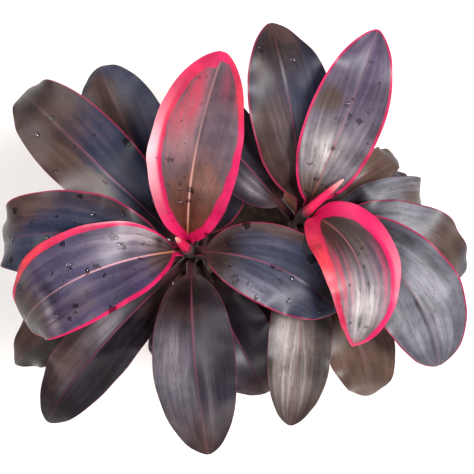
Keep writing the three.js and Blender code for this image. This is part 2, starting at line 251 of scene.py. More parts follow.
@dataclass(frozen=True)
class BladeFinish:
    """The look of a leaf's upper side: dark, silky, veined, with a pink edge.

    blade and heart are the colours of the ground and of its brown parts. The next
    colour is that of the painted sheen, a silvery painted reflection of the sky,
    and deep is that of the painted shade and of darker blotches. Scales are for
    each millimetre, relief is in millimetres, and the rest are shares from 0 to 1.
    """

    name: str
    blade: int
    heart: int
    # Colour of the painted sheen, a silvery painted reflection of the sky.
    painted_sheen: int
    # Colour of the painted shade, and of the blade's darker blotches and streaks.
    deep: int = 0x140C0E
    gloss: float = 0.36
    wet_gloss: float = 0.2
    ior: float = 1.3
    spots: float = 0.75
    streaks: float = 0.4
    rib: int = 0x84405A
    rib_foot: int = 0x5A3430
    rib_strength: float = 0.6
    stalk: int = 0x41262A
    # Colour of the painted shade along thin crease lines.
    crease_shade: int = 0x7C6468
    vein: int = 0xA89A9C
    spot: int = 0x3A3038
    edge_vivid: int = 0xD81C5C
    edge_deep: int = 0x8A143C
    edge_warm: int = 0xD03E40
    # Colour of the pale outer rim: partly the margin's own pale pink, partly a painted highlight.
    edge_pale: int = 0xF0B4BC
    edge_dull: int = 0x64263A
    cloud_scale: float = 0.035
    spot_scale: float = 0.085
    wobble_scale: float = 0.28
    streak_relief: float = 0.1
    vein_relief: float = 0.03
    spot_relief: float = 0.25

    def material(self) -> bpy.types.Material:
        """Builds the material.

        Returns:
            The material.
        """
        bench = Bench(self.name, self.gloss, self.ior)
        along, cross = bench.attribute("along"), bench.attribute("cross")
        grain = self.grain(bench, cross)
        colour = self.interior(bench, grain)
        colour = bench.mix(bench.between(along, 0.07, 0.0), colour, paint(self.stalk))
        colour = bench.mix(self.midrib(bench, along, cross), colour, self.midrib_colour(bench, along))
        edge, edge_mask = self.edge(bench, grain)
        colour = bench.mix(edge_mask, colour, edge)
        wet = self.wet_marks(bench, grain.flat)
        colour = bench.darken(bench.times(wet, self.spots), colour, paint(self.spot))
        rough = bench.plus(bench.remap(grain.streak, -0.08, 0.08), self.gloss)
        rough = bench.minus(rough, bench.times(wet, self.wet_gloss))
        folds = bench.bump(grain.streak, self.streak_relief)
        veins = bench.bump(grain.vein, self.vein_relief, folds)
        marks = bench.bump(wet, self.spot_relief, veins)
        return bench.wire(Base_Color=colour, Roughness=rough, Normal=marks)

    def grain(self, bench: Bench, cross: Socket) -> Grain:
        """Lays out the patterns.

        Args:
            bench: The material's bench.
            cross: The distance from the midrib, in millimetres.

        Returns:
            The patterns.
        """
        flat = bench.vector(cross, bench.attribute("reach"), bench.attribute("seed"))
        cloud = bench.noise(flat, self.cloud_scale, 4.0, 0.6)
        lines = along_veins(bench, 0.035, bench.remap(cloud, -2.0, 2.0))
        return Grain(flat, cloud, bench.noise(lines, 0.2, 4.0, 0.6), bench.noise(lines, 1.7, 3.0, 0.6))

    def interior(self, bench: Bench, grain: Grain) -> Socket:
        """Mixes the blade's ground colours.

        Args:
            bench: The material's bench.
            grain: The leaf's patterns.

        Returns:
            The colour.
        """
        painted_sheen = bench.attribute("painted_sheen")
        light = bench.between(grain.streak, 0.36, 0.66)
        brown = bench.plus(bench.attribute("brown"), bench.remap(grain.cloud, -0.5, 0.5))
        brown = bench.plus(brown, bench.remap(grain.streak, -0.3, 0.3))
        colour = bench.mix(bench.between(brown, 0.0, 0.9), paint(self.blade), paint(self.heart))
        # Painted sheen: a silvery painted reflection of the sky, streaked along the veins, lightens the sheen
        # patches, and a faint painted sheen lies on every light streak.
        silver = bench.times(painted_sheen, bench.remap(light, 1.0 - self.streaks, 1.0))
        silver = bench.plus(silver, bench.remap(light, 0.0, 0.05))
        colour = bench.mix(silver, colour, paint(self.painted_sheen))
        # Painted shade: the shade patches pull the colour towards deep, together with random darker blotches
        # and dark streaks that are the blade's own tone.
        patches = bench.remap(bench.between(grain.cloud, 0.35, 0.65), 0.35, 0.0)
        patchy = bench.plus(bench.remap(light, 0.16, 0.0), patches)
        shade = bench.plus(bench.times(bench.attribute("shade"), 0.8), patchy)
        colour = bench.mix(shade, colour, paint(self.deep))
        # The real fine veins darken most where the painted sheen lies.
        fine = bench.times(bench.between(grain.vein, 0.45, 0.72), bench.remap(painted_sheen, 0.2, 0.7))
        colour = bench.darken(fine, colour, paint(self.vein))
        # Painted shade along thin crease lines, strongest within the painted sheen.
        creases = bench.between(bench.noise(along_veins(bench, 0.16), 0.6, 2.0), 0.6, 0.74)
        return bench.darken(bench.times(creases, bench.remap(painted_sheen, 0.3, 0.8)), colour, paint(self.crease_shade))

    def midrib(self, bench: Bench, along: Socket, cross: Socket) -> Socket:
        """Says where the midrib's line lies, fading towards the tip.

        Args:
            bench: The material's bench.
            along: The share of the blade.
            cross: The distance from the midrib, in millimetres.

        Returns:
            Where it lies.
        """
        line = bench.between(bench.size(cross), 1.5, 0.3)
        fade = bench.remap(bench.between(along, 0.3, 0.75), self.rib_strength, self.rib_strength * 0.2)
        return bench.times(line, fade)

    def midrib_colour(self, bench: Bench, along: Socket) -> Socket:
        """Turns the midrib from its foot's colour into the blade's."""
        return bench.mix(bench.between(along, 0.0, 0.25), paint(self.rib_foot), paint(self.rib))

    def edge(self, bench: Bench, grain: Grain) -> tuple[Socket, Socket]:
        """Mixes the pink edge.

        Args:
            bench: The material's bench.
            grain: The leaf's patterns.

        Returns:
            The edge's colour, and where it lies.
        """
        rim, flare, blush = (bench.attribute(key) for key in ("rim", "flare", "blush"))
        ragged = bench.plus(bench.remap(grain.cloud, -1.0, 1.0), bench.remap(grain.streak, 0.7, -0.7))
        thin = bench.plus(rim, bench.times(ragged, bench.attribute("fray")))
        colour = bench.mix(bench.attribute("warm"), paint(self.edge_vivid), paint(self.edge_warm))
        inner = bench.times(bench.between(thin, -3.0, 0.4), 0.6)
        lined = bench.times(bench.between(grain.vein, 0.44, 0.68), 0.6)
        clouded = bench.remap(bench.between(grain.cloud, 0.35, 0.6), 0.7, 0.0)
        deep = bench.larger(bench.larger(inner, lined), clouded)
        colour = bench.mix(deep, colour, paint(self.edge_deep))
        # A pale outermost rim, partly the margin's own pale pink and partly a painted highlight.
        outermost = bench.times(bench.attribute("pale"), bench.between(rim, -2.0, -6.0))
        colour = bench.mix(outermost, colour, paint(self.edge_pale))
        colour = bench.mix(bench.times(blush, blush), paint(self.edge_dull), colour)
        wash = bench.times(flare, bench.remap(bench.between(grain.streak, 0.4, 0.6), 0.1, 0.85))
        return colour, bench.larger(bench.between(thin, 0.8, -0.6), wash)

    def wet_marks(self, bench: Bench, flat: Socket) -> Socket:
        """Scatters the dark marks that water has left.

        Args:
            bench: The material's bench.
            flat: The place on the flattened leaf, in millimetres.

        Returns:
            Where the marks lie.
        """
        wobble = bench.noise(flat, self.wobble_scale, 3.0)
        points = bench.cells(flat, self.spot_scale)
        draw = bench.add("SeparateColor", {0: points.outputs["Color"]})
        limit = bench.remap(bench.attribute("wet"), 1.0, 0.35)
        chosen = bench.between(bench.minus(draw.outputs[0], limit), 0.0, 0.02)
        size = bench.remap(draw.outputs[1], 0.08, 0.4)
        distance = bench.plus(points.outputs["Distance"], bench.remap(wobble, -0.4, 0.4))
        return bench.times(bench.between(bench.minus(distance, size), 0.08, -0.06), chosen)


class Tint(Enum):
    """The shades that the blades come in."""

    BRONZE = BladeFinish(
        "leaf_bronze", 0x685662, 0x643626, 0xB8948C, rib=0xD49C90, rib_foot=0xA87234, rib_strength=0.9
    )
    VIOLET = BladeFinish(
        "leaf_violet", 0x443C5A, 0x463430, 0xD0C0C2, rib=0xD09AA2, rib_foot=0xB07850, rib_strength=0.8
    )
    NAVY = BladeFinish("leaf_navy", 0x28304A, 0x48322A, 0x8C8896)
    PLUM = BladeFinish("leaf_plum", 0x262230, 0x442E2A, 0x948A94)
    # Silvery through its bright painted sheen colour, over a greyish purple blade.
    SILVER = BladeFinish("leaf_silver", 0x544860, 0x442E26, 0xD2CCC8, rib=0x9A5A64, rib_foot=0x8A5430)
    GREY = BladeFinish("leaf_grey", 0x4C4C5A, 0x584238, 0x9C9AA2, streaks=0.25)
    UMBER = BladeFinish("leaf_umber", 0x60493E, 0x46342A, 0xA09CA4)
    ASH = BladeFinish("leaf_ash", 0x584C48, 0x3E2A26, 0xB4A8A2, streaks=0.5)
    OLIVE = BladeFinish("leaf_olive", 0x302A28, 0x442F26, 0x7A7470)


@dataclass(frozen=True)
class UndersideFinish:
    """The duller, redder side of a leaf that faces down."""

    ground: int = 0x5A3440
    vein: int = 0x7C4A50
    edge: int = 0xB04A62

    def material(self) -> bpy.types.Material:
        """Builds the material.

        Returns:
            The material.
        """
        bench = Bench("leaf_underside", 0.55)
        vein = bench.noise(along_veins(bench, 0.012), 1.6, 3.0)
        colour = bench.mix(bench.between(vein, 0.4, 0.7), paint(self.ground), paint(self.vein))
        edge = bench.between(bench.attribute("rim"), 0.4, -0.4)
        colour = bench.mix(bench.times(edge, 0.7), colour, paint(self.edge))
        return bench.wire(Base_Color=colour, Normal=bench.bump(vein, 0.3))


@dataclass(frozen=True)
class DewFinish:
    """Clear water."""

    tint: int = 0xF4F4F6
    clear: int = 0xFFFFFF

    def material(self) -> bpy.types.Material:
        """Builds the material.

        Returns:
            The material.
        """
        bench = Bench("dew", 0.04, 1.33)
        bench.shader.inputs["Transmission Weight"].default_value = 1.0
        speck = bench.noise(bench.place(), 900.0, 1.0)
        return bench.wire(Base_Color=bench.mix(speck, paint(self.tint), paint(self.clear)))


@dataclass(frozen=True)
class RollFinish:
    """The bright pink of a leaf that hasn't unrolled yet."""

    foot: int = 0x8A2C40
    middle: int = 0xF22A62
    tip: int = 0xFFC0B4
    stripe: int = 0xC07080

    def material(self) -> bpy.types.Material:
        """Builds the material.

        Returns:
            The material.
        """
        bench = Bench("new_leaf", 0.38)
        up = bench.attribute("up")
        turn = bench.attribute("turn")
        stripes = bench.noise(bench.vector(bench.times(turn, 14.0), up, 0.0), 1.5, 3.0)
        colour = bench.mix(bench.between(up, 0.0, 0.35), paint(self.foot), paint(self.middle))
        colour = bench.mix(bench.between(up, 0.72, 1.0), colour, paint(self.tip))
        colour = bench.darken(bench.between(stripes, 0.45, 0.75), colour, paint(self.stripe))
        return bench.wire(Base_Color=colour, Normal=bench.bump(stripes, 0.3))


@dataclass(frozen=True)
class BarkFinish:
    """Grey-brown bark, ringed by old leaf scars."""

    ground: int = 0x8A745C
    scar: int = 0x54402F
    fresh: int = 0x8B6A58
    green: int = 0x3A2426
    fibre: int = 0xA9977E

    def material(self) -> bpy.types.Material:
        """Builds the material.

        Returns:
            The material.
        """
        bench = Bench("bark", 0.75)
        where = bench.place()
        grain = bench.noise(where, 420.0, 4.0)
        patch = bench.noise(where, 60.0, 3.0)
        colour = bench.mix(bench.between(patch, 0.35, 0.65), paint(self.ground), paint(self.fresh))
        colour = bench.mix(bench.between(grain, 0.5, 0.75), colour, paint(self.fibre))
        colour = bench.mix(bench.attribute("scar"), colour, paint(self.scar))
        colour = bench.mix(bench.attribute("green"), colour, paint(self.green))
        rough = bench.remap(grain, 0.6, 0.9)
        return bench.wire(Base_Color=colour, Roughness=rough, Normal=bench.bump(grain, 0.5))


@dataclass(frozen=True)
class ClayFinish:
    """Fired clay with a chalky efflorescence that rises from below."""

    ground: int = 0x7C4E3C
    dark: int = 0x5C392C
    chalk: int = 0xB9A08C
    grit: int = 0xB08070

    def material(self) -> bpy.types.Material:
        """Builds the material.

        Returns:
            The material.
        """
        bench = Bench("clay", 0.85)
        where = bench.place()
        height = bench.add("SeparateXYZ", {0: where}).outputs[2]
        throwing = bench.noise(bench.vector(0.0, 0.0, height), 260.0, 2.0)
        grain = bench.noise(where, 900.0, 3.0)
        patch = bench.noise(where, 22.0, 4.0)
        colour = bench.mix(bench.between(patch, 0.35, 0.7), paint(self.ground), paint(self.dark))
        foot = bench.times(bench.between(height, 0.075, 0.0), bench.between(patch, 0.3, 0.6))
        lip = bench.times(bench.between(height, 0.138, 0.16), bench.between(patch, 0.45, 0.75))
        chalk = bench.times(bench.larger(foot, lip), 0.55)
        colour = bench.mix(chalk, colour, paint(self.chalk))
        colour = bench.darken(bench.between(grain, 0.6, 0.8), colour, paint(self.grit))
        rough = bench.remap(grain, 0.75, 0.95)
        rings = bench.bump(throwing, 0.5)
        return bench.wire(Base_Color=colour, Roughness=rough, Normal=bench.bump(grain, 0.25, rings))


@dataclass(frozen=True)
class EarthFinish:
    """Dark potting soil."""

    ground: int = 0x2B2019
    crumb: int = 0x4A382A
    damp: int = 0x8A7C70

    def material(self) -> bpy.types.Material:
        """Builds the material.

        Returns:
            The material.
        """
        bench = Bench("soil", 0.95)
        where = bench.place()
        crumbs = bench.noise(where, 240.0, 5.0, 0.7)
        patch = bench.noise(where, 45.0, 3.0)
        colour = bench.mix(bench.between(crumbs, 0.4, 0.7), paint(self.ground), paint(self.crumb))
        colour = bench.darken(bench.between(patch, 0.4, 0.7), colour, paint(self.damp))
        return bench.wire(Base_Color=colour, Normal=bench.bump(crumbs, 2.5))


@dataclass(frozen=True)
class FloorFinish:
    """The plain pale floor."""

    ground: int = 0xF4F3F1
    mottle: int = 0xF7F6F5

    def material(self) -> bpy.types.Material:
        """Builds the material.

        Returns:
            The material.
        """
        bench = Bench("floor", 0.8)
        mottle = bench.noise(bench.place(), 3.0, 2.0)
        return bench.wire(Base_Color=bench.mix(mottle, paint(self.ground), paint(self.mottle)))


def make_piece(
    name: str,
    corners: np.ndarray,
    faces: Faces,
    materials: list[bpy.types.Material],
    sharp: float = 50.0,
) -> bpy.types.Object:
    """Makes a smooth-shaded mesh object at the origin.

    Args:
        name: The piece's name.
        corners: Its corners in the object's frame, in millimetres.
        faces: Its faces, facing out.
        materials: What its faces are made of.
        sharp: Edges that bend more than this many degrees stay crisp.

    Returns:
        The object.
    """
    mesh = bpy.data.meshes.new(name)
    mesh.from_pydata([tuple(c) for c in np.asarray(corners) * MM], [], faces)
    mesh.shade_smooth()
    mesh.set_sharp_from_angle(angle=math.radians(sharp))
    for material in materials:
        mesh.materials.append(material)
    piece = bpy.data.objects.new(name, mesh)
    bpy.context.scene.collection.objects.link(piece)
    return piece


def carry(piece: bpy.types.Object, values: dict[str, np.ndarray]) -> None:
    """Stores numbers on a piece's corners, for its material to read.

    Args:
        piece: The piece.
        values: One number for each corner, by name.
    """
    for key, numbers in values.items():
        layer = piece.data.attributes.new(key, "FLOAT", "POINT")
        layer.data.foreach_set("value", np.ascontiguousarray(numbers, dtype=np.float32).ravel())


def seat(piece: bpy.types.Object, slot: str | None, *nodes: str) -> None:
    """Ties a piece to the frame.

    Args:
        piece: The piece.
        slot: The record's material slot that its finish comes from; not used.
        *nodes: The solids that it stands for.
    """
    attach(piece, BODY)
    if nodes:
        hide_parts(*nodes)
    stands_for = ", ".join(nodes) or "nothing"
    LOG.info("%s: %d corners, stands for %s", piece.name, len(piece.data.vertices), stands_for)


def ring_faces(rings: int, sides: int) -> Faces:
    """Closes a stack of rings, with a fan of faces at each end.

    Args:
        rings: How many rings there are, from the bottom up.
        sides: How many corners each ring has, counted anticlockwise from above.

    Returns:
        The faces, facing out.
    """
    faces: Faces = []
    for ring in range(rings - 1):
        for side in range(sides):
            here = ring * sides + side
            beside = ring * sides + (side + 1) % sides
            faces.append((here, beside, beside + sides, here + sides))
    faces.append(tuple(reversed(range(sides))))
    faces.append(tuple(range((rings - 1) * sides, rings * sides)))
    return faces


@dataclass(frozen=True)
class Band:
    """The width of a pink edge, in millimetres, at thirds of the blade from stalk to tip."""

    near: float = 0.3
    early: float = 0.3
    late: float = 0.2
    far: float = 0.2

    def width(self, along: np.ndarray) -> np.ndarray:
        """Gives the width at shares of the blade's length."""
        return np.interp(along, np.linspace(0.0, 1.0, 4), [self.near, self.early, self.late, self.far])


@dataclass(frozen=True)
class Patch:
    """A patch on a blade, soft towards its rim.

    span and along are its middle, from -1 to 1 across the blade and from 0 at the
    stalk to 1 at the tip, and width and length are its half sizes in those shares.
    """

    span: float
    along: float
    width: float
    length: float
    strength: float = 1.0

    def amount(self, span: np.ndarray, along: np.ndarray) -> np.ndarray:
        """Gives the patch's strength at each place."""
        away = ((span - self.span) / self.width) ** 2 + ((along - self.along) / self.length) ** 2
        return self.strength * np.exp(-away)


@dataclass(frozen=True)
class Dress:
    """What one leaf wears: its tint, its two edges, its patches and its drops.

    plus and minus are the edges on the sides where span is above and below 0, and
    blush is how vivid they are. The patches are a silvery painted sheen, brown,
    painted shade (shade), pale within the edge, partly the edge's own colour and
    partly a painted highlight (pale), warm within the edge (warm), washed with pink
    (flare), or marked by water (wet). Drops lie within drop_zone, a range of span.
    By default a leaf has painted shade near its stalk.
    """

    tint: Tint = Tint.PLUM
    plus: Band = Band()
    minus: Band = Band()
    blush: float = 0.0
    painted_sheen: tuple[Patch, ...] = ()
    brown: tuple[Patch, ...] = (Patch(0.0, 0.0, 1.4, 0.15), Patch(0.0, 1.0, 1.4, 0.2))
    shade: tuple[Patch, ...] = (Patch(0.0, 0.1, 1.5, 0.15, 0.7),)
    pale: tuple[Patch, ...] = ()
    warm: tuple[Patch, ...] = ()
    flare: tuple[Patch, ...] = ()
    wet: tuple[Patch, ...] = ()
    drops: int = 0
    drop_zone: tuple[float, float] = (-0.85, 0.85)


@dataclass(frozen=True)
class Clasp:
    """How leaves grow out of a cane. Lengths are in millimetres, angles in degrees."""

    cane_radius: float = 7.0
    gap: float = 0.3
    wall: float = 1.6
    arc: float = 32.0
    foot_length: float = 5.0
    turn_length: float = 16.0
    first_foot: float = 8.0
    foot_spacing: float = 9.0
    stalk_half: float = 5.5
    stalk_curve: float = 55.0
    ridge: float = 1.4

    @property
    def radius(self) -> float:
        """The radius of the middle of a leaf's clasping foot."""
        return self.cane_radius + self.gap + self.wall / 2.0


CLASP = Clasp()
BLADE_WALL = 0.7
OPENING = 0.25
STALK_FADE = 0.62
BANKING = 0.45
RIPPLE_START = 0.33
RIPPLE_STOP = 0.15
FOLD_EASE = 0.45
RIPPLE_SHIFT = 1.9
RIPPLE_STEP = 2.4
FINE_RIPPLE = 0.35
FINE_COUNT = 1.8
SPINE_STEPS = 160


@dataclass(frozen=True)
class Leaf:
    """One leaf's form and dress. Lengths are in millimetres, angles in degrees.

    The stalk rises at rise and the blade then bends over by arch, later where bend
    is high. It turns sideways by sway and rolls by bank. Each half slopes up from
    the midrib by fold and rolls down by curl. fill_base and fill_tip are the taper
    of the outline at its ends, blunter where low, and wave and waves the height
    and number of the ripples of its margin.
    """

    heading: float
    rise: float = 45.0
    arch: float = 90.0
    bend: float = 1.6
    length: float = 195.0
    width: float = 84.0
    stalk: float = 40.0
    sway: float = 0.0
    bank: float = 0.0
    fold: float = 22.0
    curl: float = 14.0
    fill_base: float = 0.85
    fill_tip: float = 0.72
    wave: float = 3.0
    waves: float = 2.5
    dress: Dress = field(default_factory=Dress)

    def spine(self, drop: float) -> tuple[np.ndarray, np.ndarray, np.ndarray, np.ndarray]:
        """Adds up the midrib.

        Args:
            drop: How far the foot lies below the cane's tip.

        Returns:
            Lengths from the foot, and at each of them the midrib's point, the
            direction across the leaf and the one out of its upper side.
        """
        length = self.stalk + self.length
        reach = np.linspace(0.0, length, SPINE_STEPS + 1)
        along = np.clip((reach - self.stalk) / self.length, 0.0, 1.0)
        turned = smooth((reach - CLASP.foot_length) / CLASP.turn_length)
        slope = np.radians(90.0 + (self.rise - 90.0) * turned - self.arch * along**self.bend)
        heading = np.radians(self.heading + self.sway * smooth(along))
        roll = math.radians(self.bank) * smooth(along / BANKING)
        flat = np.stack([np.cos(heading), np.sin(heading), 0.0 * heading], 1)
        upright = np.array([0.0, 0.0, 1.0])
        forward = flat * np.cos(slope)[:, None] + upright * np.sin(slope)[:, None]
        level = np.stack([-np.sin(heading), np.cos(heading), 0.0 * heading], 1)
        upper = -flat * np.sin(slope)[:, None] + upright * np.cos(slope)[:, None]
        point = np.zeros((SPINE_STEPS + 1, 3))
        point[1:] = np.cumsum((forward[1:] + forward[:-1]) / 2.0 * length / SPINE_STEPS, 0)
        point += CLASP.radius * flat[0] - drop * upright
        across = level * np.cos(roll)[:, None] + upper * np.sin(roll)[:, None]
        out = upper * np.cos(roll)[:, None] - level * np.sin(roll)[:, None]
        return reach, point, across, out

    def sheet(self, drop: float, phase: float, reach: np.ndarray, span: np.ndarray) -> dict[str, np.ndarray]:
        """Works out the leaf's middle sheet.

        Args:
            drop: How far the foot lies below the cane's tip.
            phase: Where the margin's ripples start, in radians.
            reach: Places along the leaf, in millimetres from its foot.
            span: Places across it, from -1 to 1.

        Returns:
            Arrays with a row for each reach and a column for each span: point and
            lift, the place and the direction out of the upper side, wall and ridge,
            the thickness and the midrib's depth below, and cross, along and half,
            the distance from the midrib, the share of the blade and its half width.
        """
        places, points, acrosses, outs = self.spine(drop)
        at = lambda values: np.stack([np.interp(reach, places, values[:, k]) for k in range(3)], 1)[:, None]
        point, across, out = at(points), at(acrosses), at(outs)
        along = np.clip((reach - self.stalk) / self.length, 0.0, 1.0)[:, None]
        turned = smooth((reach[:, None] - CLASP.foot_length) / CLASP.turn_length)
        opened = smooth(along / OPENING)
        broadest = self.fill_base / (self.fill_base + self.fill_tip)
        taper = lambda v: v**self.fill_base * (1.0 - v) ** self.fill_tip
        foot_half = CLASP.radius * math.radians(CLASP.arc)
        stalk_half = foot_half + (CLASP.stalk_half - foot_half) * turned
        half = stalk_half * (1.0 - smooth(along / STALK_FADE))
        half = half + self.width / 2.0 * taper(along) / taper(broadest)
        slope = math.radians(self.fold) * (1.0 - FOLD_EASE * along) * opened
        stalk_curl = np.radians(CLASP.arc + (CLASP.stalk_curve - CLASP.arc) * turned)
        curl = stalk_curl + (-math.radians(self.curl) - stalk_curl) * opened
        curl = np.where(np.abs(curl) < 1e-4, 1e-4, curl)
        outwards = np.abs(span)[None, :]
        side = np.sign(span)[None, :]
        tilt = slope + curl * outwards
        beside = (np.sin(tilt) - np.sin(slope)) / curl
        above = (np.cos(slope) - np.cos(tilt)) / curl
        start = phase + np.where(side > 0, 0.0, RIPPLE_SHIFT)
        turn = 2.0 * math.pi * self.waves * along
        fine = FINE_RIPPLE * np.sin(FINE_COUNT * turn + 2.0 * start)
        ripple = (1.0 - FINE_RIPPLE) * np.sin(turn + start) + fine
        ripple = ripple * smooth(along / RIPPLE_START) * smooth((1.0 - along) / RIPPLE_STOP)
        height = half * above + self.wave * outwards**2 * ripple
        place = point + across * (side * half * beside)[..., None] + out * height[..., None]
        lift = -across * (side * np.sin(tilt))[..., None] + out * np.cos(tilt)[..., None]
        shape = place.shape[:2]
        grid = lambda values: np.broadcast_to(values, shape).copy()
        return {
            "point": place,
            "lift": lift,
            "wall": grid(CLASP.wall + (BLADE_WALL - CLASP.wall) * opened),
            "ridge": grid(CLASP.ridge * turned * (1.0 - along)),
            "cross": grid(span[None, :] * half),
            "along": grid(along),
            "half": grid(half),
        }


@dataclass(frozen=True)
class Tilt:
    """Where a cane's tip stands, and which way the cane leans."""

    x: float
    y: float
    lean: float
    angle: float = 6.0
    height: float = 300.0

    def matrix(self) -> np.ndarray:
        """Turns the cane's own directions into the object's.

        Returns:
            The rotation, three by three.
        """
        lean = math.radians(self.lean)
        hinge = Vector((-math.sin(lean), math.cos(lean), 0.0))
        return np.array(Matrix.Rotation(math.radians(self.angle), 3, hinge))

    def out(self, places: np.ndarray) -> np.ndarray:
        """Turns places in the cane's own space into the object's."""
        return places @ self.matrix().T + np.array([self.x, self.y, self.height])


@dataclass
class LeafMaker:
    """Builds leaves as fine closed meshes."""

    finishes: dict[Tint, bpy.types.Material]
    underside: bpy.types.Material
    rows: int = 104
    half_columns: int = 15
    pleat: float = 0.04
    buckle: float = 0.7
    flutter: float = 0.7
    blade_end: float = 0.997
    row_ease: float = 1.15
    column_ease: float = 1.25
    rib_width: float = 1.5

    def make(self, name: str, leaf: Leaf, tilt: Tilt, index: int) -> bpy.types.Object:
        """Builds one leaf.

        Args:
            name: The piece's name.
            leaf: Its form and dress.
            tilt: Its cane's place.
            index: Its number on the cane, from 0 at the top.

        Returns:
            The leaf.
        """
        drop = CLASP.first_foot + index * CLASP.foot_spacing
        share = np.linspace(0.0, 1.0, self.rows + 1)
        share = 1.0 - (1.0 - share) ** self.row_ease
        reach = share * (leaf.stalk + leaf.length * self.blade_end)
        step = np.linspace(-1.0, 1.0, 2 * self.half_columns + 1)
        span = np.sign(step) * (1.0 - (1.0 - np.abs(step)) ** self.column_ease)
        sheet = leaf.sheet(drop, index * RIPPLE_STEP, reach, span)
        relief = self.relief(sheet, span[None, :], index)
        point = sheet["point"] + sheet["lift"] * relief[..., None]
        middle = (span == 0.0)[None, :]
        near_middle = np.exp(-((sheet["cross"] / self.rib_width) ** 2))
        upper = point + sheet["lift"] * (sheet["wall"] / 2.0)[..., None]
        depth = sheet["wall"] / 2.0 + sheet["ridge"] * np.where(middle, 1.0, near_middle)
        lower = point - sheet["lift"] * depth[..., None]
        corners = tilt.out(np.concatenate([upper.reshape(-1, 3), lower.reshape(-1, 3)]))
        faces, lower_count = self.faces(len(reach), len(span))
        piece = make_piece(name, corners, faces, [self.finishes[leaf.dress.tint], self.underside], 60.0)
        kinds = np.zeros(len(faces), dtype=np.int32)
        kinds[:lower_count] = 1
        piece.data.polygons.foreach_set("material_index", kinds)
        carry(piece, self.numbers(leaf, sheet, span, reach, index))
        return piece

    def relief(self, sheet: dict[str, np.ndarray], span: np.ndarray, index: int) -> np.ndarray:
        """Raises soft pleats along the veins, broad buckles and a fine flutter at the margin.

        Args:
            sheet: The leaf's middle sheet.
            span: Places across it.
            index: The leaf's number, which sets the pattern off from its neighbours'.

        Returns:
            The height at each place, in millimetres.
        """
        along = sheet["along"]
        outwards = np.abs(span)
        open_blade = smooth(along / 0.2) * smooth((1.0 - along) / 0.1)
        flow = 2.0 * math.pi * (outwards - 0.44 * along)
        pleats = np.sin(6.0 * flow + index) + np.sin(9.7 * flow + 2.0 * index)
        side = np.where(span > 0.0, 0.0, 2.3)
        buckles = np.sin(2.0 * math.pi * (2.3 * along + 0.5 * outwards) + index + side)
        buckles += 0.6 * np.sin(2.0 * math.pi * (4.1 * along - 0.8 * outwards) + 2.9 * index + side)
        flutter = np.sin(2.0 * math.pi * 6.3 * along + 1.7 * index + side)
        buckled = self.buckle * outwards * (1.3 - outwards) * buckles
        inner = smooth(outwards / 0.3) * (self.pleat * pleats + buckled)
        return open_blade * (inner + self.flutter * outwards**5 * flutter)

    def faces(self, rows: int, columns: int) -> tuple[Faces, int]:
        """Closes the upper and lower sheets into one body.

        Args:
            rows: Rows of corners.
            columns: Corners in each row.

        Returns:
            The faces, those of the lower side first, and how many those are.
        """
        below = rows * columns
        lower: Faces = []
        upper: Faces = []
        for row in range(rows - 1):
            for column in range(columns - 1):
                a = row * columns + column
                b, c, d = a + 1, a + 1 + columns, a + columns
                upper.append((a, d, c, b))
                lower.append((a + below, b + below, c + below, d + below))
        border = list(range(columns))
        border += [row * columns + columns - 1 for row in range(1, rows)]
        border += [(rows - 1) * columns + column for column in range(columns - 2, -1, -1)]
        border += [row * columns for row in range(rows - 2, 0, -1)]
        rim = [(a, b, b + below, a + below) for a, b in zip(border, border[1:] + border[:1])]
        return lower + upper + rim, len(lower)

    def numbers(
        self, leaf: Leaf, sheet: dict[str, np.ndarray], span: np.ndarray, reach: np.ndarray, index: int
    ) -> dict[str, np.ndarray]:
        """Works out what the leaf's material reads.

        Args:
            leaf: The leaf.
            sheet: Its middle sheet.
            span: Places across it.
            reach: Places along it.
            index: The leaf's number.

        Returns:
            One number for each corner, by name.
        """
        dress = leaf.dress
        along, half = sheet["along"], sheet["half"]
        wide = np.broadcast_to(span[None, :], along.shape)
        band = np.where(wide > 0.0, dress.plus.width(along), dress.minus.width(along))
        band = band - 3.0 * (1.0 - dress.blush) * (1.0 - smooth(along / 0.12))
        inside = np.minimum(half * (1.0 - np.abs(wide)), (1.0 - along) * leaf.length * 0.75 + 0.2)
        total = lambda patches: np.clip(sum((p.amount(wide, along) for p in patches), 0.0 * along), 0.0, 1.0)
        values = {
            "along": along,
            "span": wide,
            "cross": sheet["cross"],
            "reach": np.broadcast_to(reach[:, None], along.shape),
            "rim": inside - band,
            "fray": np.clip(0.3 * band, 0.0, 4.0),
            "blush": np.full(along.shape, dress.blush),
            "wet": total(dress.wet),
            "brown": total(dress.brown),
            "shade": total(dress.shade),
            "painted_sheen": total(dress.painted_sheen),
            "pale": total(dress.pale),
            "warm": total(dress.warm),
            "flare": total(dress.flare),
            "seed": np.full(along.shape, 3.7 * index + 0.37 * abs(leaf.heading)),
        }
        return {key: np.tile(number.reshape(-1), 2) for key, number in values.items()}


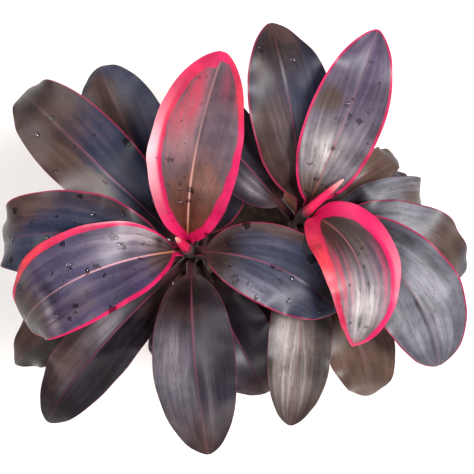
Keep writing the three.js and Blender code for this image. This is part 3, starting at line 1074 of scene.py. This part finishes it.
@dataclass
class Dew:
    """Water drops that lie on the upper leaves."""

    finish: bpy.types.Material
    small: float = 1.2
    large: float = 3.2
    flatness: float = 0.55
    sunk: float = 0.1
    rings: int = 4
    sides: int = 12
    draws: random.Random = field(default_factory=lambda: random.Random(71))

    def dome(self, centre: np.ndarray, up: np.ndarray, radius: float) -> tuple[np.ndarray, Faces]:
        """Shapes one flat drop.

        Args:
            centre: Where it lies.
            up: The way out of the leaf.
            radius: Its radius.

        Returns:
            Its corners and faces.
        """
        aside = np.cross(up, [0.0, 0.0, 1.0]) + np.array([1e-3, 0.0, 0.0])
        aside = aside / np.linalg.norm(aside)
        ahead = np.cross(up, aside)
        stretch = 1.0 + 0.5 * self.draws.random()
        spin = self.draws.random() * math.pi
        corners = []
        for ring in range(self.rings + 1):
            angle = ring / (self.rings + 0.5) * math.pi / 2.0
            for side in range(self.sides):
                turn = spin + side / self.sides * 2.0 * math.pi
                flat = radius * math.cos(angle)
                along = aside * (flat * math.cos(turn) * stretch) + ahead * (flat * math.sin(turn))
                corners.append(centre + along + up * (radius * self.flatness * math.sin(angle)))
        return np.array(corners), ring_faces(self.rings + 1, self.sides)

    def scatter(self, name: str, leaves: list[tuple[Leaf, int]], tilt: Tilt) -> bpy.types.Object:
        """Lays drops on a crown's leaves.

        Args:
            name: The piece's name.
            leaves: Each leaf with its number.
            tilt: The cane's place.

        Returns:
            All the crown's drops in one piece.
        """
        corners: list[np.ndarray] = []
        faces: Faces = []
        turn = tilt.matrix()
        for leaf, index in leaves:
            drop = CLASP.first_foot + index * CLASP.foot_spacing
            for _ in range(leaf.dress.drops):
                along = self.draws.uniform(0.12, 0.88)
                span = self.draws.uniform(*leaf.dress.drop_zone)
                radius = self.small + (self.large - self.small) * self.draws.random() ** 2
                reach = np.array([leaf.stalk + along * leaf.length])
                sheet = leaf.sheet(drop, index * RIPPLE_STEP, reach, np.array([span]))
                up = turn @ sheet["lift"][0, 0]
                centre = tilt.out(sheet["point"][0, 0] + sheet["lift"][0, 0] * (BLADE_WALL / 2.0))
                dome, dome_faces = self.dome(centre - up * self.sunk, up, radius)
                first = sum(len(c) for c in corners)
                faces += [tuple(first + corner for corner in face) for face in dome_faces]
                corners.append(dome)
        return make_piece(name, np.concatenate(corners), faces, [self.finish], 80.0)


@dataclass
class Roll:
    """A new leaf at the cane's tip, still rolled up."""

    height: float
    reach: float
    heading: float
    radius: float = 4.6
    lap: float = 0.22
    taper: float = 0.3
    end: float = 0.99
    bend: float = 1.5
    sides: int = 72
    rows: int = 60

    def make(self, name: str, tilt: Tilt, finish: bpy.types.Material) -> bpy.types.Object:
        """Builds the roll.

        Args:
            name: The piece's name.
            tilt: The cane's place.
            finish: Its material.

        Returns:
            The roll.
        """
        up = np.linspace(0.0, 1.0, self.rows + 1)[:, None]
        share = np.linspace(0.0, 1.0, self.sides + 1)[None, :]
        heading = math.radians(self.heading)
        radius = self.radius * (1.0 - self.taper * up) * np.sqrt(1.0 - (self.end * up) ** 3)
        groove = 1.0 + 0.02 * np.sin(2.0 * math.pi * 9.0 * share)
        out = radius * (1.0 + self.lap * share) * groove
        turn = heading + share * 2.0 * math.pi + 0.5 * up
        lean = self.reach * up**self.bend
        x = lean * math.cos(heading) + out * np.cos(turn)
        y = lean * math.sin(heading) + out * np.sin(turn)
        z = CLASP.gap + self.height * up + 0.0 * share
        corners = tilt.out(np.stack([x, y, z], -1).reshape(-1, 3))
        piece = make_piece(name, corners, ring_faces(self.rows + 1, self.sides + 1), [finish], 40.0)
        carry(piece, {"up": np.broadcast_to(up, x.shape), "turn": np.broadcast_to(share, x.shape)})
        return piece


@dataclass
class Cane:
    """A woody stem with the rings that fallen leaves left."""

    leafy: float = 121.0
    bare: float = 50.0
    buried: float = 62.0
    foot_radius: float = 9.5
    edge: float = 1.5
    bow: float = 4.0
    scars: int = 5
    scar_relief: float = 0.8
    scar_width: float = 3.0
    sides: int = 48
    rows: int = 240

    def make(self, name: str, tilt: Tilt, finish: bpy.types.Material) -> bpy.types.Object:
        """Builds the cane.

        Args:
            name: The piece's name.
            tilt: Its place.
            finish: Its material.

        Returns:
            The cane.
        """
        length = self.leafy + self.bare + self.buried
        depth = np.linspace(length, 0.0, self.rows + 1)[:, None]
        turn = np.linspace(0.0, 2.0 * math.pi, self.sides, endpoint=False)[None, :]
        up_bare = np.clip((self.leafy + self.bare - depth) / self.bare, 0.0, 1.0)
        radius = self.foot_radius + (CLASP.cane_radius - self.foot_radius) * up_bare
        ends = np.minimum(np.minimum(depth, length - depth), self.edge)
        radius = radius - self.edge + np.sqrt(self.edge**2 - (self.edge - ends) ** 2 + 1e-9)
        count = up_bare * (self.scars + 1)
        near = np.abs(count - np.round(count)) * self.bare / (self.scars + 1)
        ring = np.exp(-((near / (self.scar_width / 2.5)) ** 2)) * (np.round(count) > 0) * (up_bare < 0.96)
        wobble = 0.3 * np.sin(3.0 * turn + depth / 9.0) * (up_bare > 0.0) * (up_bare < 1.0)
        radius = radius + self.scar_relief * 0.5 * ring - 0.2 + wobble * 0.5
        lean = math.radians(tilt.lean)
        bow = self.bow * (1.0 - np.cos(2.0 * math.pi * (1.0 - up_bare))) / 2.0
        x = radius * np.cos(turn) - bow * math.cos(lean)
        y = radius * np.sin(turn) - bow * math.sin(lean)
        z = -depth + 0.0 * turn
        corners = tilt.out(np.stack([x, y, z], -1).reshape(-1, 3))
        piece = make_piece(name, corners, ring_faces(self.rows + 1, self.sides), [finish], 60.0)
        green = smooth((self.leafy + 12.0 - depth) / 24.0)
        carry(piece, {"scar": np.broadcast_to(ring * 0.8, x.shape), "green": np.broadcast_to(green, x.shape)})
        return piece


@dataclass
class Crown:
    """A cane with its leaves, from the top one down."""

    side: str
    tilt: Tilt
    roll: Roll
    leaves: list[Leaf]

    def build(self, maker: LeafMaker, dew: Dew, finishes: dict[str, bpy.types.Material]) -> None:
        """Builds and seats every piece of the crown.

        Args:
            maker: What builds the leaves.
            dew: What lays the drops.
            finishes: The materials of the cane and of the roll.
        """
        seat(Cane().make(f"{self.side}_stem", self.tilt, finishes["bark"]), "bark", f"{self.side}_cane")
        roll = self.roll.make(f"{self.side}_roll", self.tilt, finishes["new_leaf"])
        seat(roll, "new_leaf", f"{self.side}_spear")
        for index, leaf in enumerate(self.leaves):
            piece = maker.make(f"{self.side}_blade_{index + 1:02d}", leaf, self.tilt, index)
            slot = {Tint.BRONZE: "ruby_leaf", Tint.VIOLET: "ruby_leaf"}.get(leaf.dress.tint, "leaf")
            seat(piece, "pink_leaf" if leaf is PINK_LEAF else slot, f"{self.side}_leaf_{index + 1:02d}")
        wet = [(leaf, index) for index, leaf in enumerate(self.leaves) if leaf.dress.drops]
        seat(dew.scatter(f"{self.side}_dew", wet, self.tilt), None)


# Painted shade over the middle of the lower leaves that lie under others.
UNDER = Dress(shade=(Patch(0.0, 0.3, 1.5, 0.5, 0.5),))

PINK_LEAF = Leaf(
    -48, rise=62, arch=134, bend=1.1, length=178, width=74, stalk=16, sway=-54, fill_tip=1.05,
    dress=Dress(
        Tint.SILVER, plus=Band(22, 15, 7, 4), minus=Band(22, 16, 6, 4), blush=1.0, drops=8,
        painted_sheen=(Patch(-0.1, 0.72, 0.7, 0.2, 0.85),),
        brown=(
            Patch(0.0, 0.25, 0.8, 0.25), Patch(0.5, 0.82, 0.25, 0.08, 0.8), Patch(0.0, 0.96, 0.8, 0.06, 0.6),
        ),
        shade=(
            Patch(0.0, 0.2, 0.5, 0.15, 0.4), Patch(0.7, 0.42, 0.15, 0.14, 0.7),
            Patch(-0.1, 0.8, 0.1, 0.05, 0.7),
        ),
        pale=(Patch(1.0, 0.55, 0.4, 0.14, 0.3), Patch(-1.0, 0.6, 0.3, 0.12, 0.15)),
        warm=(Patch(-0.9, 0.45, 0.6, 0.4, 0.9),),
        flare=(
            Patch(-0.6, 0.5, 0.25, 0.22, 1.0), Patch(0.62, 0.55, 0.2, 0.16, 0.6),
            Patch(0.0, 0.95, 0.8, 0.04, 0.5),
        ),
    ),
)

LEFT = Crown(
    "left",
    Tilt(-60.0, -17.0, 200.0),
    Roll(56.0, 3.0, 120.0),
    [
        Leaf(
            73, rise=64, arch=60, length=215, width=86, stalk=16, fold=20, sway=-4, fill_tip=0.65,
            dress=Dress(
                Tint.BRONZE, plus=Band(14, 15, 12, 12), minus=Band(13, 11, 5, 7), blush=1.0,
                wet=(Patch(0.0, 0.6, 1.0, 0.4, 0.3),),
                painted_sheen=(Patch(-0.3, 0.42, 0.35, 0.12, 0.35), Patch(0.35, 0.62, 0.25, 0.16, 0.4)),
                brown=(Patch(0.0, 0.2, 1.0, 0.26), Patch(-0.3, 0.4, 0.4, 0.16, 0.6)),
                shade=(Patch(-0.3, 0.82, 0.6, 0.08, 0.4), Patch(0.0, 0.06, 0.8, 0.1, 0.4)),
                pale=(Patch(1.0, 0.48, 0.35, 0.2, 1.0),),
                warm=(Patch(0.5, 0.75, 0.5, 0.2, 0.8), Patch(-0.8, 0.86, 0.4, 0.12, 0.9)),
                flare=(
                    Patch(0.45, 0.74, 0.28, 0.16, 1.0), Patch(0.45, 0.8, 0.3, 0.1, 0.5),
                    Patch(-0.8, 0.88, 0.35, 0.07, 1.0),
                ),
                drops=18, drop_zone=(0.1, 0.8),
            ),
        ),
        Leaf(
            196, rise=50, arch=120, bend=1.3, length=202, width=92, stalk=22, sway=18,
            dress=Dress(
                Tint.VIOLET, plus=Band(5, 4.5, 1.8, 0.2), minus=Band(0.6, 6, 8, 0.4), blush=0.97,
                wet=(Patch(0.0, 0.6, 2.0, 0.5, 0.65),), drops=9,
                painted_sheen=(
                    Patch(-0.9, 0.14, 0.4, 0.13, 0.9), Patch(-0.4, 0.28, 0.45, 0.14, 0.25),
                    Patch(0.3, 0.72, 0.5, 0.025, 0.3),
                ),
                brown=(
                    Patch(0.3, 0.04, 1.2, 0.12), Patch(0.0, 0.92, 1.5, 0.2), Patch(0.5, 0.55, 0.3, 0.1, 0.4),
                ),
                shade=(
                    Patch(-0.55, 0.08, 0.3, 0.04, 0.8), Patch(0.0, 0.67, 0.9, 0.03, 0.4),
                    Patch(0.0, 0.9, 1.5, 0.12, 0.7),
                ),
                pale=(Patch(-1.0, 0.2, 0.4, 0.14, 0.9),),
                warm=(Patch(-1.0, 0.72, 0.5, 0.22),),
            ),
        ),
        Leaf(
            -9, rise=31, arch=82, bend=1.3, length=158, width=80, stalk=28, sway=-32, wave=1.5,
            dress=Dress(
                Tint.NAVY, plus=Band(1, 0.8, 0.4, 0.4), minus=Band(1.2, 1.4, 1.4, 1.2), blush=0.55,
                wet=(Patch(0.0, 0.3, 2.0, 0.3, 0.85),), drops=8,
                painted_sheen=(
                    Patch(-0.5, 0.55, 0.35, 0.2, 0.45), Patch(-0.9, 0.42, 0.25, 0.09, 1.0),
                    Patch(0.35, 0.38, 0.5, 0.14, 0.25),
                ),
                brown=(Patch(0.0, 0.05, 1.3, 0.2), Patch(0.9, 0.45, 0.2, 0.2)),
                shade=(Patch(0.4, 0.92, 1.0, 0.26, 1.0), Patch(0.0, 0.1, 1.4, 0.12, 0.6)),
            ),
        ),
        Leaf(
            172, rise=41, arch=119, length=202, width=84, stalk=38, sway=14, wave=6,
            dress=Dress(
                Tint.NAVY, minus=Band(1.6, 1.6, 0.8, 0.3), blush=0.6, wet=(Patch(0.0, 0.6, 2.0, 0.4, 0.7),),
                drops=4,
                brown=(Patch(-0.8, 0.8, 0.6, 0.22), Patch(-0.9, 0.3, 0.4, 0.3, 0.6)),
                shade=(Patch(0.0, 0.1, 1.2, 0.15, 0.6), Patch(0.0, 0.95, 1.5, 0.15, 0.9)),
            ),
        ),
        Leaf(
            277, rise=40, arch=80, length=195, width=80, stalk=36,
            dress=Dress(
                Tint.PLUM, blush=0.15,
                painted_sheen=(Patch(-0.5, 0.5, 0.4, 0.2, 0.75), Patch(0.3, 0.6, 0.12, 0.2, 0.4)),
                brown=(Patch(-0.4, 0.22, 0.7, 0.12), Patch(0.0, 0.0, 1.2, 0.12), Patch(0.0, 1.0, 1.2, 0.2)),
                shade=(Patch(0.0, 0.1, 1.2, 0.16, 0.9), Patch(0.8, 0.55, 0.5, 0.4, 0.3)),
            ),
        ),
        Leaf(
            136, rise=40, arch=98, bend=1.8, length=244, width=82, stalk=36, wave=4,
            dress=Dress(
                Tint.NAVY, minus=Band(1.6, 1.6, 1.2, 0.6), blush=0.5, drops=4,
                wet=(Patch(0.0, 0.5, 1.0, 0.4, 0.4),),
                brown=(
                    Patch(0.6, 0.8, 0.9, 0.35), Patch(-0.7, 0.82, 0.6, 0.2), Patch(0.8, 0.45, 0.5, 0.25, 1.0),
                ),
                shade=(Patch(0.0, 0.12, 1.2, 0.12, 0.6), Patch(0.0, 0.95, 1.5, 0.2, 0.8)),
            ),
        ),
        Leaf(
            230, rise=34, arch=80, length=205, width=68, stalk=46,
            dress=Dress(
                Tint.PLUM, painted_sheen=(Patch(-0.4, 0.42, 0.25, 0.14, 0.5),),
                brown=(Patch(-0.6, 0.65, 0.5, 0.25), Patch(0.6, 0.1, 0.8, 0.15)),
                shade=(Patch(0.6, 0.4, 0.6, 0.35, 0.6), Patch(0.0, 0.9, 1.5, 0.25, 0.6)),
            ),
        ),
        Leaf(
            116, rise=42, arch=80, bend=1.4, length=202, width=84, stalk=44,
            dress=Dress(Tint.NAVY, brown=(
                Patch(0.4, 0.7, 0.7, 0.3), ), shade=(Patch(0.0, 0.3, 1.2, 0.2, 0.4), ),
            ),
        ),
        Leaf(-62, rise=30, arch=90, length=140, width=74, stalk=46, dress=UNDER),
        Leaf(
            207, rise=26, arch=80, length=202, width=80, stalk=50, sway=8, wave=6, fill_tip=1.0,
            dress=Dress(Tint.OLIVE, brown=(Patch(-0.7, 0.7, 0.7, 0.4),)),
        ),
        Leaf(
            70, rise=48, arch=50, length=130, width=76, stalk=44,
            dress=Dress(Tint.PLUM, minus=Band(1.4, 1.4, 1.4, 1), blush=0.6),
        ),
        Leaf(251, rise=16, arch=60, length=92, width=42, stalk=44),
        Leaf(155, rise=8, arch=80, length=150, width=70, stalk=46),
    ],
)

RIGHT = Crown(
    "right",
    Tilt(60.0, 20.0, 20.0),
    Roll(52.0, 34.0, 36.0),
    [
        PINK_LEAF,
        Leaf(
            71, rise=60, arch=60, length=192, width=72, stalk=20,
            dress=Dress(
                Tint.SILVER, plus=Band(2.6, 2.6, 2.2, 2), minus=Band(3, 3, 2.4, 2), blush=0.9, drops=10,
                wet=(Patch(-0.6, 0.45, 0.6, 0.4), Patch(0.0, 0.12, 1.0, 0.1, 1.0)),
                painted_sheen=(
                    Patch(0.4, 0.34, 0.5, 0.14, 1.0), Patch(0.3, 0.3, 0.3, 0.1, 0.5),
                    Patch(-0.5, 0.3, 0.4, 0.2, 0.45),
                ),
                brown=(Patch(0.1, 0.04, 1.2, 0.14), Patch(0.5, 0.1, 0.5, 0.08), Patch(0.6, 0.6, 0.4, 0.08)),
                pale=(Patch(1.0, 0.3, 0.3, 0.2, 0.8),),
                shade=(Patch(-0.9, 0.5, 0.3, 0.4, 0.4),),
            ),
        ),
        Leaf(
            -33, rise=24, arch=76, length=198, width=92, stalk=32, sway=-36, fill_tip=0.7,
            dress=Dress(
                Tint.GREY, plus=Band(2.2, 1.8, 1.6, 1.4), minus=Band(1, 1, 1.2, 1.2), blush=0.65,
                painted_sheen=(Patch(0.35, 0.6, 0.5, 0.3, 0.9), Patch(-0.55, 0.65, 0.35, 0.22, 0.8)),
                brown=(Patch(0.0, 1.0, 1.5, 0.1, 0.3),),
                shade=(
                    Patch(-0.1, 0.6, 0.06, 0.3, 0.6), Patch(-0.85, 0.75, 0.08, 0.2, 0.6),
                    Patch(0.75, 0.45, 0.1, 0.2, 0.5), Patch(0.6, 0.24, 0.5, 0.12, 0.6),
                ),
            ),
        ),
        Leaf(
            106, rise=54, arch=60, length=185, width=84, stalk=32,
            dress=Dress(
                Tint.NAVY, plus=Band(1.6, 1.6, 1.6, 1.4), blush=0.6, drops=3,
                painted_sheen=(Patch(0.3, 0.42, 0.3, 0.2, 0.3),),
                brown=(
                    Patch(0.6, 0.35, 0.6, 0.3, 1.0), Patch(0.5, 0.4, 0.4, 0.2, 0.6),
                    Patch(0.2, 0.05, 1.2, 0.15), Patch(0.0, 0.9, 1.2, 0.2, 0.8),
                ),
                shade=(Patch(0.3, 0.1, 1.0, 0.12, 0.7), Patch(0.0, 0.85, 1.5, 0.12, 0.5)),
            ),
        ),
        Leaf(
            267, rise=13, arch=60, length=182, width=64, stalk=44, wave=1.5,
            dress=Dress(
                Tint.ASH, painted_sheen=(Patch(-0.4, 0.55, 0.4, 0.3, 1.0), Patch(0.3, 0.6, 0.15, 0.25, 0.6)),
                shade=(
                    Patch(0.0, 0.55, 0.06, 0.3, 0.5), Patch(0.75, 0.5, 0.4, 0.5, 0.6),
                    Patch(-0.95, 0.5, 0.15, 0.5, 0.6),
                ),
            ),
        ),
        Leaf(
            -13, rise=28, arch=105, bend=1.3, length=182, width=86, stalk=42, sway=-20, wave=6,
            dress=Dress(
                Tint.GREY, plus=Band(1.6, 1.4, 0.6, 0.3), blush=0.5,
                painted_sheen=(Patch(0.5, 0.36, 0.8, 0.14, 0.9),),
                brown=(Patch(0.3, 0.68, 1.2, 0.16, 1.0), Patch(0.5, 0.6, 0.5, 0.1, 0.6)),
                shade=(Patch(0.5, 0.12, 1.0, 0.12, 0.8), Patch(0.3, 0.95, 1.0, 0.15, 0.4)),
            ),
        ),
        Leaf(
            148, rise=50, arch=80, length=175, width=72, stalk=46, sway=-20,
            dress=Dress(
                Tint.PLUM, painted_sheen=(Patch(0.4, 0.24, 0.3, 0.1, 1.0), Patch(0.4, 0.24, 0.2, 0.08, 0.6)),
                shade=(Patch(-0.5, 0.3, 0.6, 0.3, 0.5),),
            ),
        ),
        Leaf(
            5, rise=36, arch=140, bend=1.2, length=150, width=76, stalk=46, wave=5, fill_tip=0.6,
            dress=Dress(
                Tint.GREY, painted_sheen=(Patch(0.3, 0.42, 1.0, 0.12, 0.9), Patch(0.8, 0.62, 0.2, 0.08, 0.6)),
                brown=(Patch(0.3, 0.6, 0.6, 0.16, 1.0),),
                shade=(Patch(0.0, 0.9, 1.5, 0.2, 0.5), Patch(0.3, 0.15, 1.0, 0.14, 0.9)),
            ),
        ),
        Leaf(
            -65, rise=20, arch=84, length=172, width=76, stalk=48, wave=6,
            dress=Dress(Tint.UMBER, brown=(Patch(0.0, 0.2, 1.5, 0.2),)),
        ),
        Leaf(36, rise=32, arch=90, length=112, width=36, stalk=44, fill_tip=0.5, dress=Dress(Tint.UMBER)),
        Leaf(242, rise=14, arch=76, length=148, width=66, stalk=46, dress=UNDER),
        Leaf(20, rise=8, arch=84, length=140, width=68, stalk=46),
        Leaf(282, rise=14, arch=66, length=120, width=60, stalk=44),
    ],
)


@dataclass
class Pot:
    """The plain clay pot. Its outer sizes come from the frame."""

    foot_radius: float = 58.0
    wall: float = 5.5
    floor: float = 8.0
    rim_height: float = 30.0
    rim_step: float = 5.0
    edge: float = 2.4
    drain_radius: float = 6.0
    drain_circle: float = 34.0
    drains: int = 4
    drain_sides: int = 40
    axis: float = 0.01
    rim_slope: float = 1.0
    sides: int = 144
    arc_steps: int = 4

    def rounded(self, outline: list[tuple[float, float]]) -> list[tuple[float, float]]:
        """Rounds the corners of an outline that starts and ends on the axis.

        Args:
            outline: Radius and height of each corner.

        Returns:
            The outline with an arc at each inner corner.
        """
        points = [Vector(corner) for corner in outline]
        line: list[tuple[float, float]] = [outline[0]]
        for before, corner, after in zip(points, points[1:], points[2:]):
            start = corner + (before - corner).normalized() * min(self.edge, (before - corner).length / 2.0)
            end = corner + (after - corner).normalized() * min(self.edge, (after - corner).length / 2.0)
            for step in range(self.arc_steps + 1):
                t = step / self.arc_steps
                place = start * (1.0 - t) ** 2 + corner * 2.0 * t * (1.0 - t) + end * t**2
                line.append((place.x, place.y))
        return line + [outline[-1]]

    def build(self, finish: bpy.types.Material) -> None:
        """Builds and seats the pot.

        Args:
            finish: Its material.
        """
        low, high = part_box("pot")
        height = (high.z - low.z) / MM
        mouth = high.x / MM - self.rim_step
        wall_radius = lambda z: self.foot_radius + (mouth - self.foot_radius) * z / height
        rim_foot = height - self.rim_height
        outline = self.rounded([
            (self.axis, 0.0),
            (self.foot_radius, 0.0),
            (wall_radius(rim_foot), rim_foot),
            (wall_radius(rim_foot) + self.rim_step, rim_foot + self.rim_slope),
            (mouth + self.rim_step, height),
            (mouth - self.wall, height),
            (wall_radius(self.floor) - self.wall, self.floor),
            (self.axis, self.floor),
        ])
        corners = [
            (radius * math.cos(turn), radius * math.sin(turn), z)
            for radius, z in outline
            for turn in np.linspace(0.0, 2.0 * math.pi, self.sides, endpoint=False)
        ]
        faces = ring_faces(len(outline), self.sides)
        piece = make_piece("clay_pot", np.array(corners), faces, [finish], 35.0)
        self.drill(piece)
        seat(piece, "clay", "pot")

    def drill(self, pot: bpy.types.Object) -> None:
        """Cuts the drain holes.

        Args:
            pot: The pot.
        """
        for index in range(self.drains):
            turn = (index + 0.5) / self.drains * 2.0 * math.pi
            cutter = bpy.data.meshes.new("cutter")
            shape = bmesh.new()
            beside, ahead = self.drain_circle * MM * math.cos(turn), self.drain_circle * MM * math.sin(turn)
            radius = self.drain_radius * MM
            bmesh.ops.create_cone(
                shape, cap_ends=True, segments=self.drain_sides, radius1=radius, radius2=radius,
                depth=self.floor * 4.0 * MM, matrix=Matrix.Translation((beside, ahead, 0.0)),
            )
            shape.to_mesh(cutter)
            shape.free()
            tool = bpy.data.objects.new("cutter", cutter)
            bpy.context.scene.collection.objects.link(tool)
            cut = pot.modifiers.new("drain", "BOOLEAN")
            cut.operation = "DIFFERENCE"
            cut.object = tool
            cut.solver = "EXACT"
            bpy.context.view_layer.objects.active = pot
            bpy.ops.object.modifier_apply(modifier=cut.name)
            bpy.data.objects.remove(tool)


@dataclass
class Soil:
    """Potting soil, crumbly on top, with bits of bark."""

    top: float = 131.0
    mound: float = 5.0
    floor: float = 8.3
    lump: float = 1.4
    rings: int = 40
    sides: int = 120
    bits: int = 420
    smallest_bit: float = 1.0
    largest_bit: float = 3.2
    bit_margin: float = 5.0
    pot_foot: float = 58.0
    pot_share: float = 0.05
    pot_wall: float = 5.0
    draws: random.Random = field(default_factory=lambda: random.Random(5))

    def height(self, radius: np.ndarray, turn: np.ndarray, edge: float) -> np.ndarray:
        """Gives the height of the soil's surface.

        Args:
            radius: Distance from the middle.
            turn: Direction from it.
            edge: Distance of the pot's wall.

        Returns:
            Heights above the floor.
        """
        x, y = radius * np.cos(turn), radius * np.sin(turn)
        inwards = 1.0 - radius / edge
        lump = np.sin(1.0 + x / 24.0) * np.cos(y / 12.0)
        crumb = 0.5 * np.sin(x * 0.9 + 2.0 * np.sin(y * 0.37)) * np.sin(y * 1.1 + 1.3 * np.sin(x * 0.53))
        return self.top + self.mound * smooth(inwards) + (self.lump * lump + crumb) * smooth(inwards / 0.25)

    def build(self, finish: bpy.types.Material) -> None:
        """Builds and seats the soil.

        Args:
            finish: Its material.
        """
        low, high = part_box("soil")
        edge = high.x / MM
        foot = self.pot_foot + (edge - self.pot_foot) * self.pot_share - self.pot_wall
        turn = np.linspace(0.0, 2.0 * math.pi, self.sides, endpoint=False)
        rows = [np.stack([foot * np.cos(turn), foot * np.sin(turn), 0.0 * turn + self.floor], 1)]
        for ring in range(self.rings):
            radius = edge * (1.0 - ring / self.rings)
            z = self.height(np.full_like(turn, radius), turn, edge)
            rows.append(np.stack([radius * np.cos(turn), radius * np.sin(turn), z], 1))
        corners = [np.concatenate(rows)]
        faces = ring_faces(len(rows), self.sides)
        for _ in range(self.bits):
            bit, bit_faces = self.bit(edge)
            first = sum(len(c) for c in corners)
            faces += [tuple(first + corner for corner in face) for face in bit_faces]
            corners.append(bit)
        seat(make_piece("potting_soil", np.concatenate(corners), faces, [finish], 40.0), "soil", "soil")

    def bit(self, edge: float) -> tuple[np.ndarray, Faces]:
        """Shapes one bit of bark or grit.

        Args:
            edge: Distance of the pot's wall from the middle.

        Returns:
            Its corners and faces.
        """
        away = (edge - self.bit_margin) * math.sqrt(self.draws.random())
        turn = self.draws.random() * 2.0 * math.pi
        size = self.draws.uniform(self.smallest_bit, self.largest_bit)
        z = float(self.height(np.array(away), np.array(turn), edge))
        centre = np.array([away * math.cos(turn), away * math.sin(turn), z])
        angle = self.draws.random() * 6.28
        spin = np.array(Matrix.Rotation(angle, 3, Vector([self.draws.random() + 0.1 for _ in range(3)])))
        ring = [(math.cos(k * math.pi / 3.0), math.sin(k * math.pi / 3.0)) for k in range(6)]
        low = [(size * x * self.draws.uniform(0.6, 1.0), size * 0.6 * y, -size * 0.25) for x, y in ring]
        high = [(size * 0.8 * x, size * 0.5 * y * self.draws.uniform(0.6, 1.0), size * 0.25) for x, y in ring]
        return np.array(low + high) @ spin.T + centre, ring_faces(2, 6)


@dataclass(frozen=True)
class Lamp:
    """A square soft lamp: its place and side in metres, its power in watts."""

    name: str
    place: tuple[float, float, float]
    size: float
    power: float
    colour: int


@dataclass
class Studio:
    """The camera, the lights and the floor."""

    elevation: float = 80.0
    distance: float = 1000.0
    focal: float = 1000.0
    image: float = 474.0
    sensor: float = 36.0
    aim_pixel: tuple[float, float] = (246.5, 231.5)
    aim_height: float = 300.0
    floor_reach: float = 4000.0
    sky: int = 0xFCFBFC
    sky_strength: float = 0.42
    lamps: tuple[Lamp, ...] = (
        Lamp("key", (1.5, -0.5, 3.3), 1.0, 130.0, 0xFFFFFF),
        Lamp("front", (-0.7, -2.6, 2.5), 1.6, 50.0, 0xFFFAF8),
        Lamp("back", (-2.6, 2.0, 2.8), 2.2, 90.0, 0xFFFAF8),
    )

    def camera(self) -> None:
        """Looks down on the crowns as the photograph does."""
        tip = math.radians(self.elevation)
        back = Vector((0.0, -math.cos(tip), math.sin(tip)))
        right = Vector((1.0, 0.0, 0.0))
        up = back.cross(right)
        beside = (self.image / 2.0 - self.aim_pixel[0]) / self.focal * self.distance
        below = (self.image / 2.0 - self.aim_pixel[1]) / self.focal * self.distance
        target = Vector((0.0, 0.0, self.aim_height)) + right * beside - up * below
        lens = bpy.data.cameras.new("camera")
        lens.sensor_width = self.sensor
        lens.lens = lens.sensor_width * self.focal / self.image
        camera = bpy.data.objects.new("camera", lens)
        turn = Matrix((right, up, back)).transposed().to_4x4()
        camera.matrix_world = Matrix.Translation((target + back * self.distance) * MM) @ turn
        bpy.context.scene.collection.objects.link(camera)
        bpy.context.scene.camera = camera

    def hang(self, lamp: Lamp) -> None:
        """Hangs a lamp that faces the crowns.

        Args:
            lamp: The lamp.
        """
        light = bpy.data.lights.new(lamp.name, "AREA")
        light.size = lamp.size
        light.energy = lamp.power
        light.color = paint(lamp.colour)[:3]
        piece = bpy.data.objects.new(lamp.name, light)
        piece.location = lamp.place
        towards = Vector((0.0, 0.0, self.aim_height * MM)) - Vector(lamp.place)
        piece.rotation_mode = "QUATERNION"
        piece.rotation_quaternion = towards.to_track_quat("-Z", "Y")
        bpy.context.scene.collection.objects.link(piece)

    def build(self) -> None:
        """Lays the floor, lights the sky and hangs the lamps."""
        reach = self.floor_reach
        signs = [(-1, -1, 0), (1, -1, 0), (1, 1, 0), (-1, 1, 0)]
        corners = reach * np.array(signs, dtype=float)
        floor = make_piece("floor", corners, [(0, 1, 2, 3)], [FloorFinish().material()])
        world = bpy.data.worlds.new("studio")
        world.use_nodes = True
        sky = world.node_tree.nodes["Background"]
        sky.inputs["Color"].default_value = paint(self.sky)
        sky.inputs["Strength"].default_value = self.sky_strength
        bpy.context.scene.world = world
        bpy.context.scene.view_settings.view_transform = "Standard"
        for lamp in self.lamps:
            self.hang(lamp)


def main() -> None:
    """Builds the camera first, then the pot, the soil and the two crowns."""
    logging.basicConfig(level=logging.INFO, format="%(name)s: %(message)s")
    studio = Studio()
    studio.camera()
    studio.build()
    Pot().build(ClayFinish().material())
    Soil().build(EarthFinish().material())
    maker = LeafMaker({tint: tint.value.material() for tint in Tint}, UndersideFinish().material())
    dew = Dew(DewFinish().material())
    finishes = {"bark": BarkFinish().material(), "new_leaf": RollFinish().material()}
    for crown in (LEFT, RIGHT):
        crown.build(maker, dew, finishes)


if __name__ == "__main__":
    main()
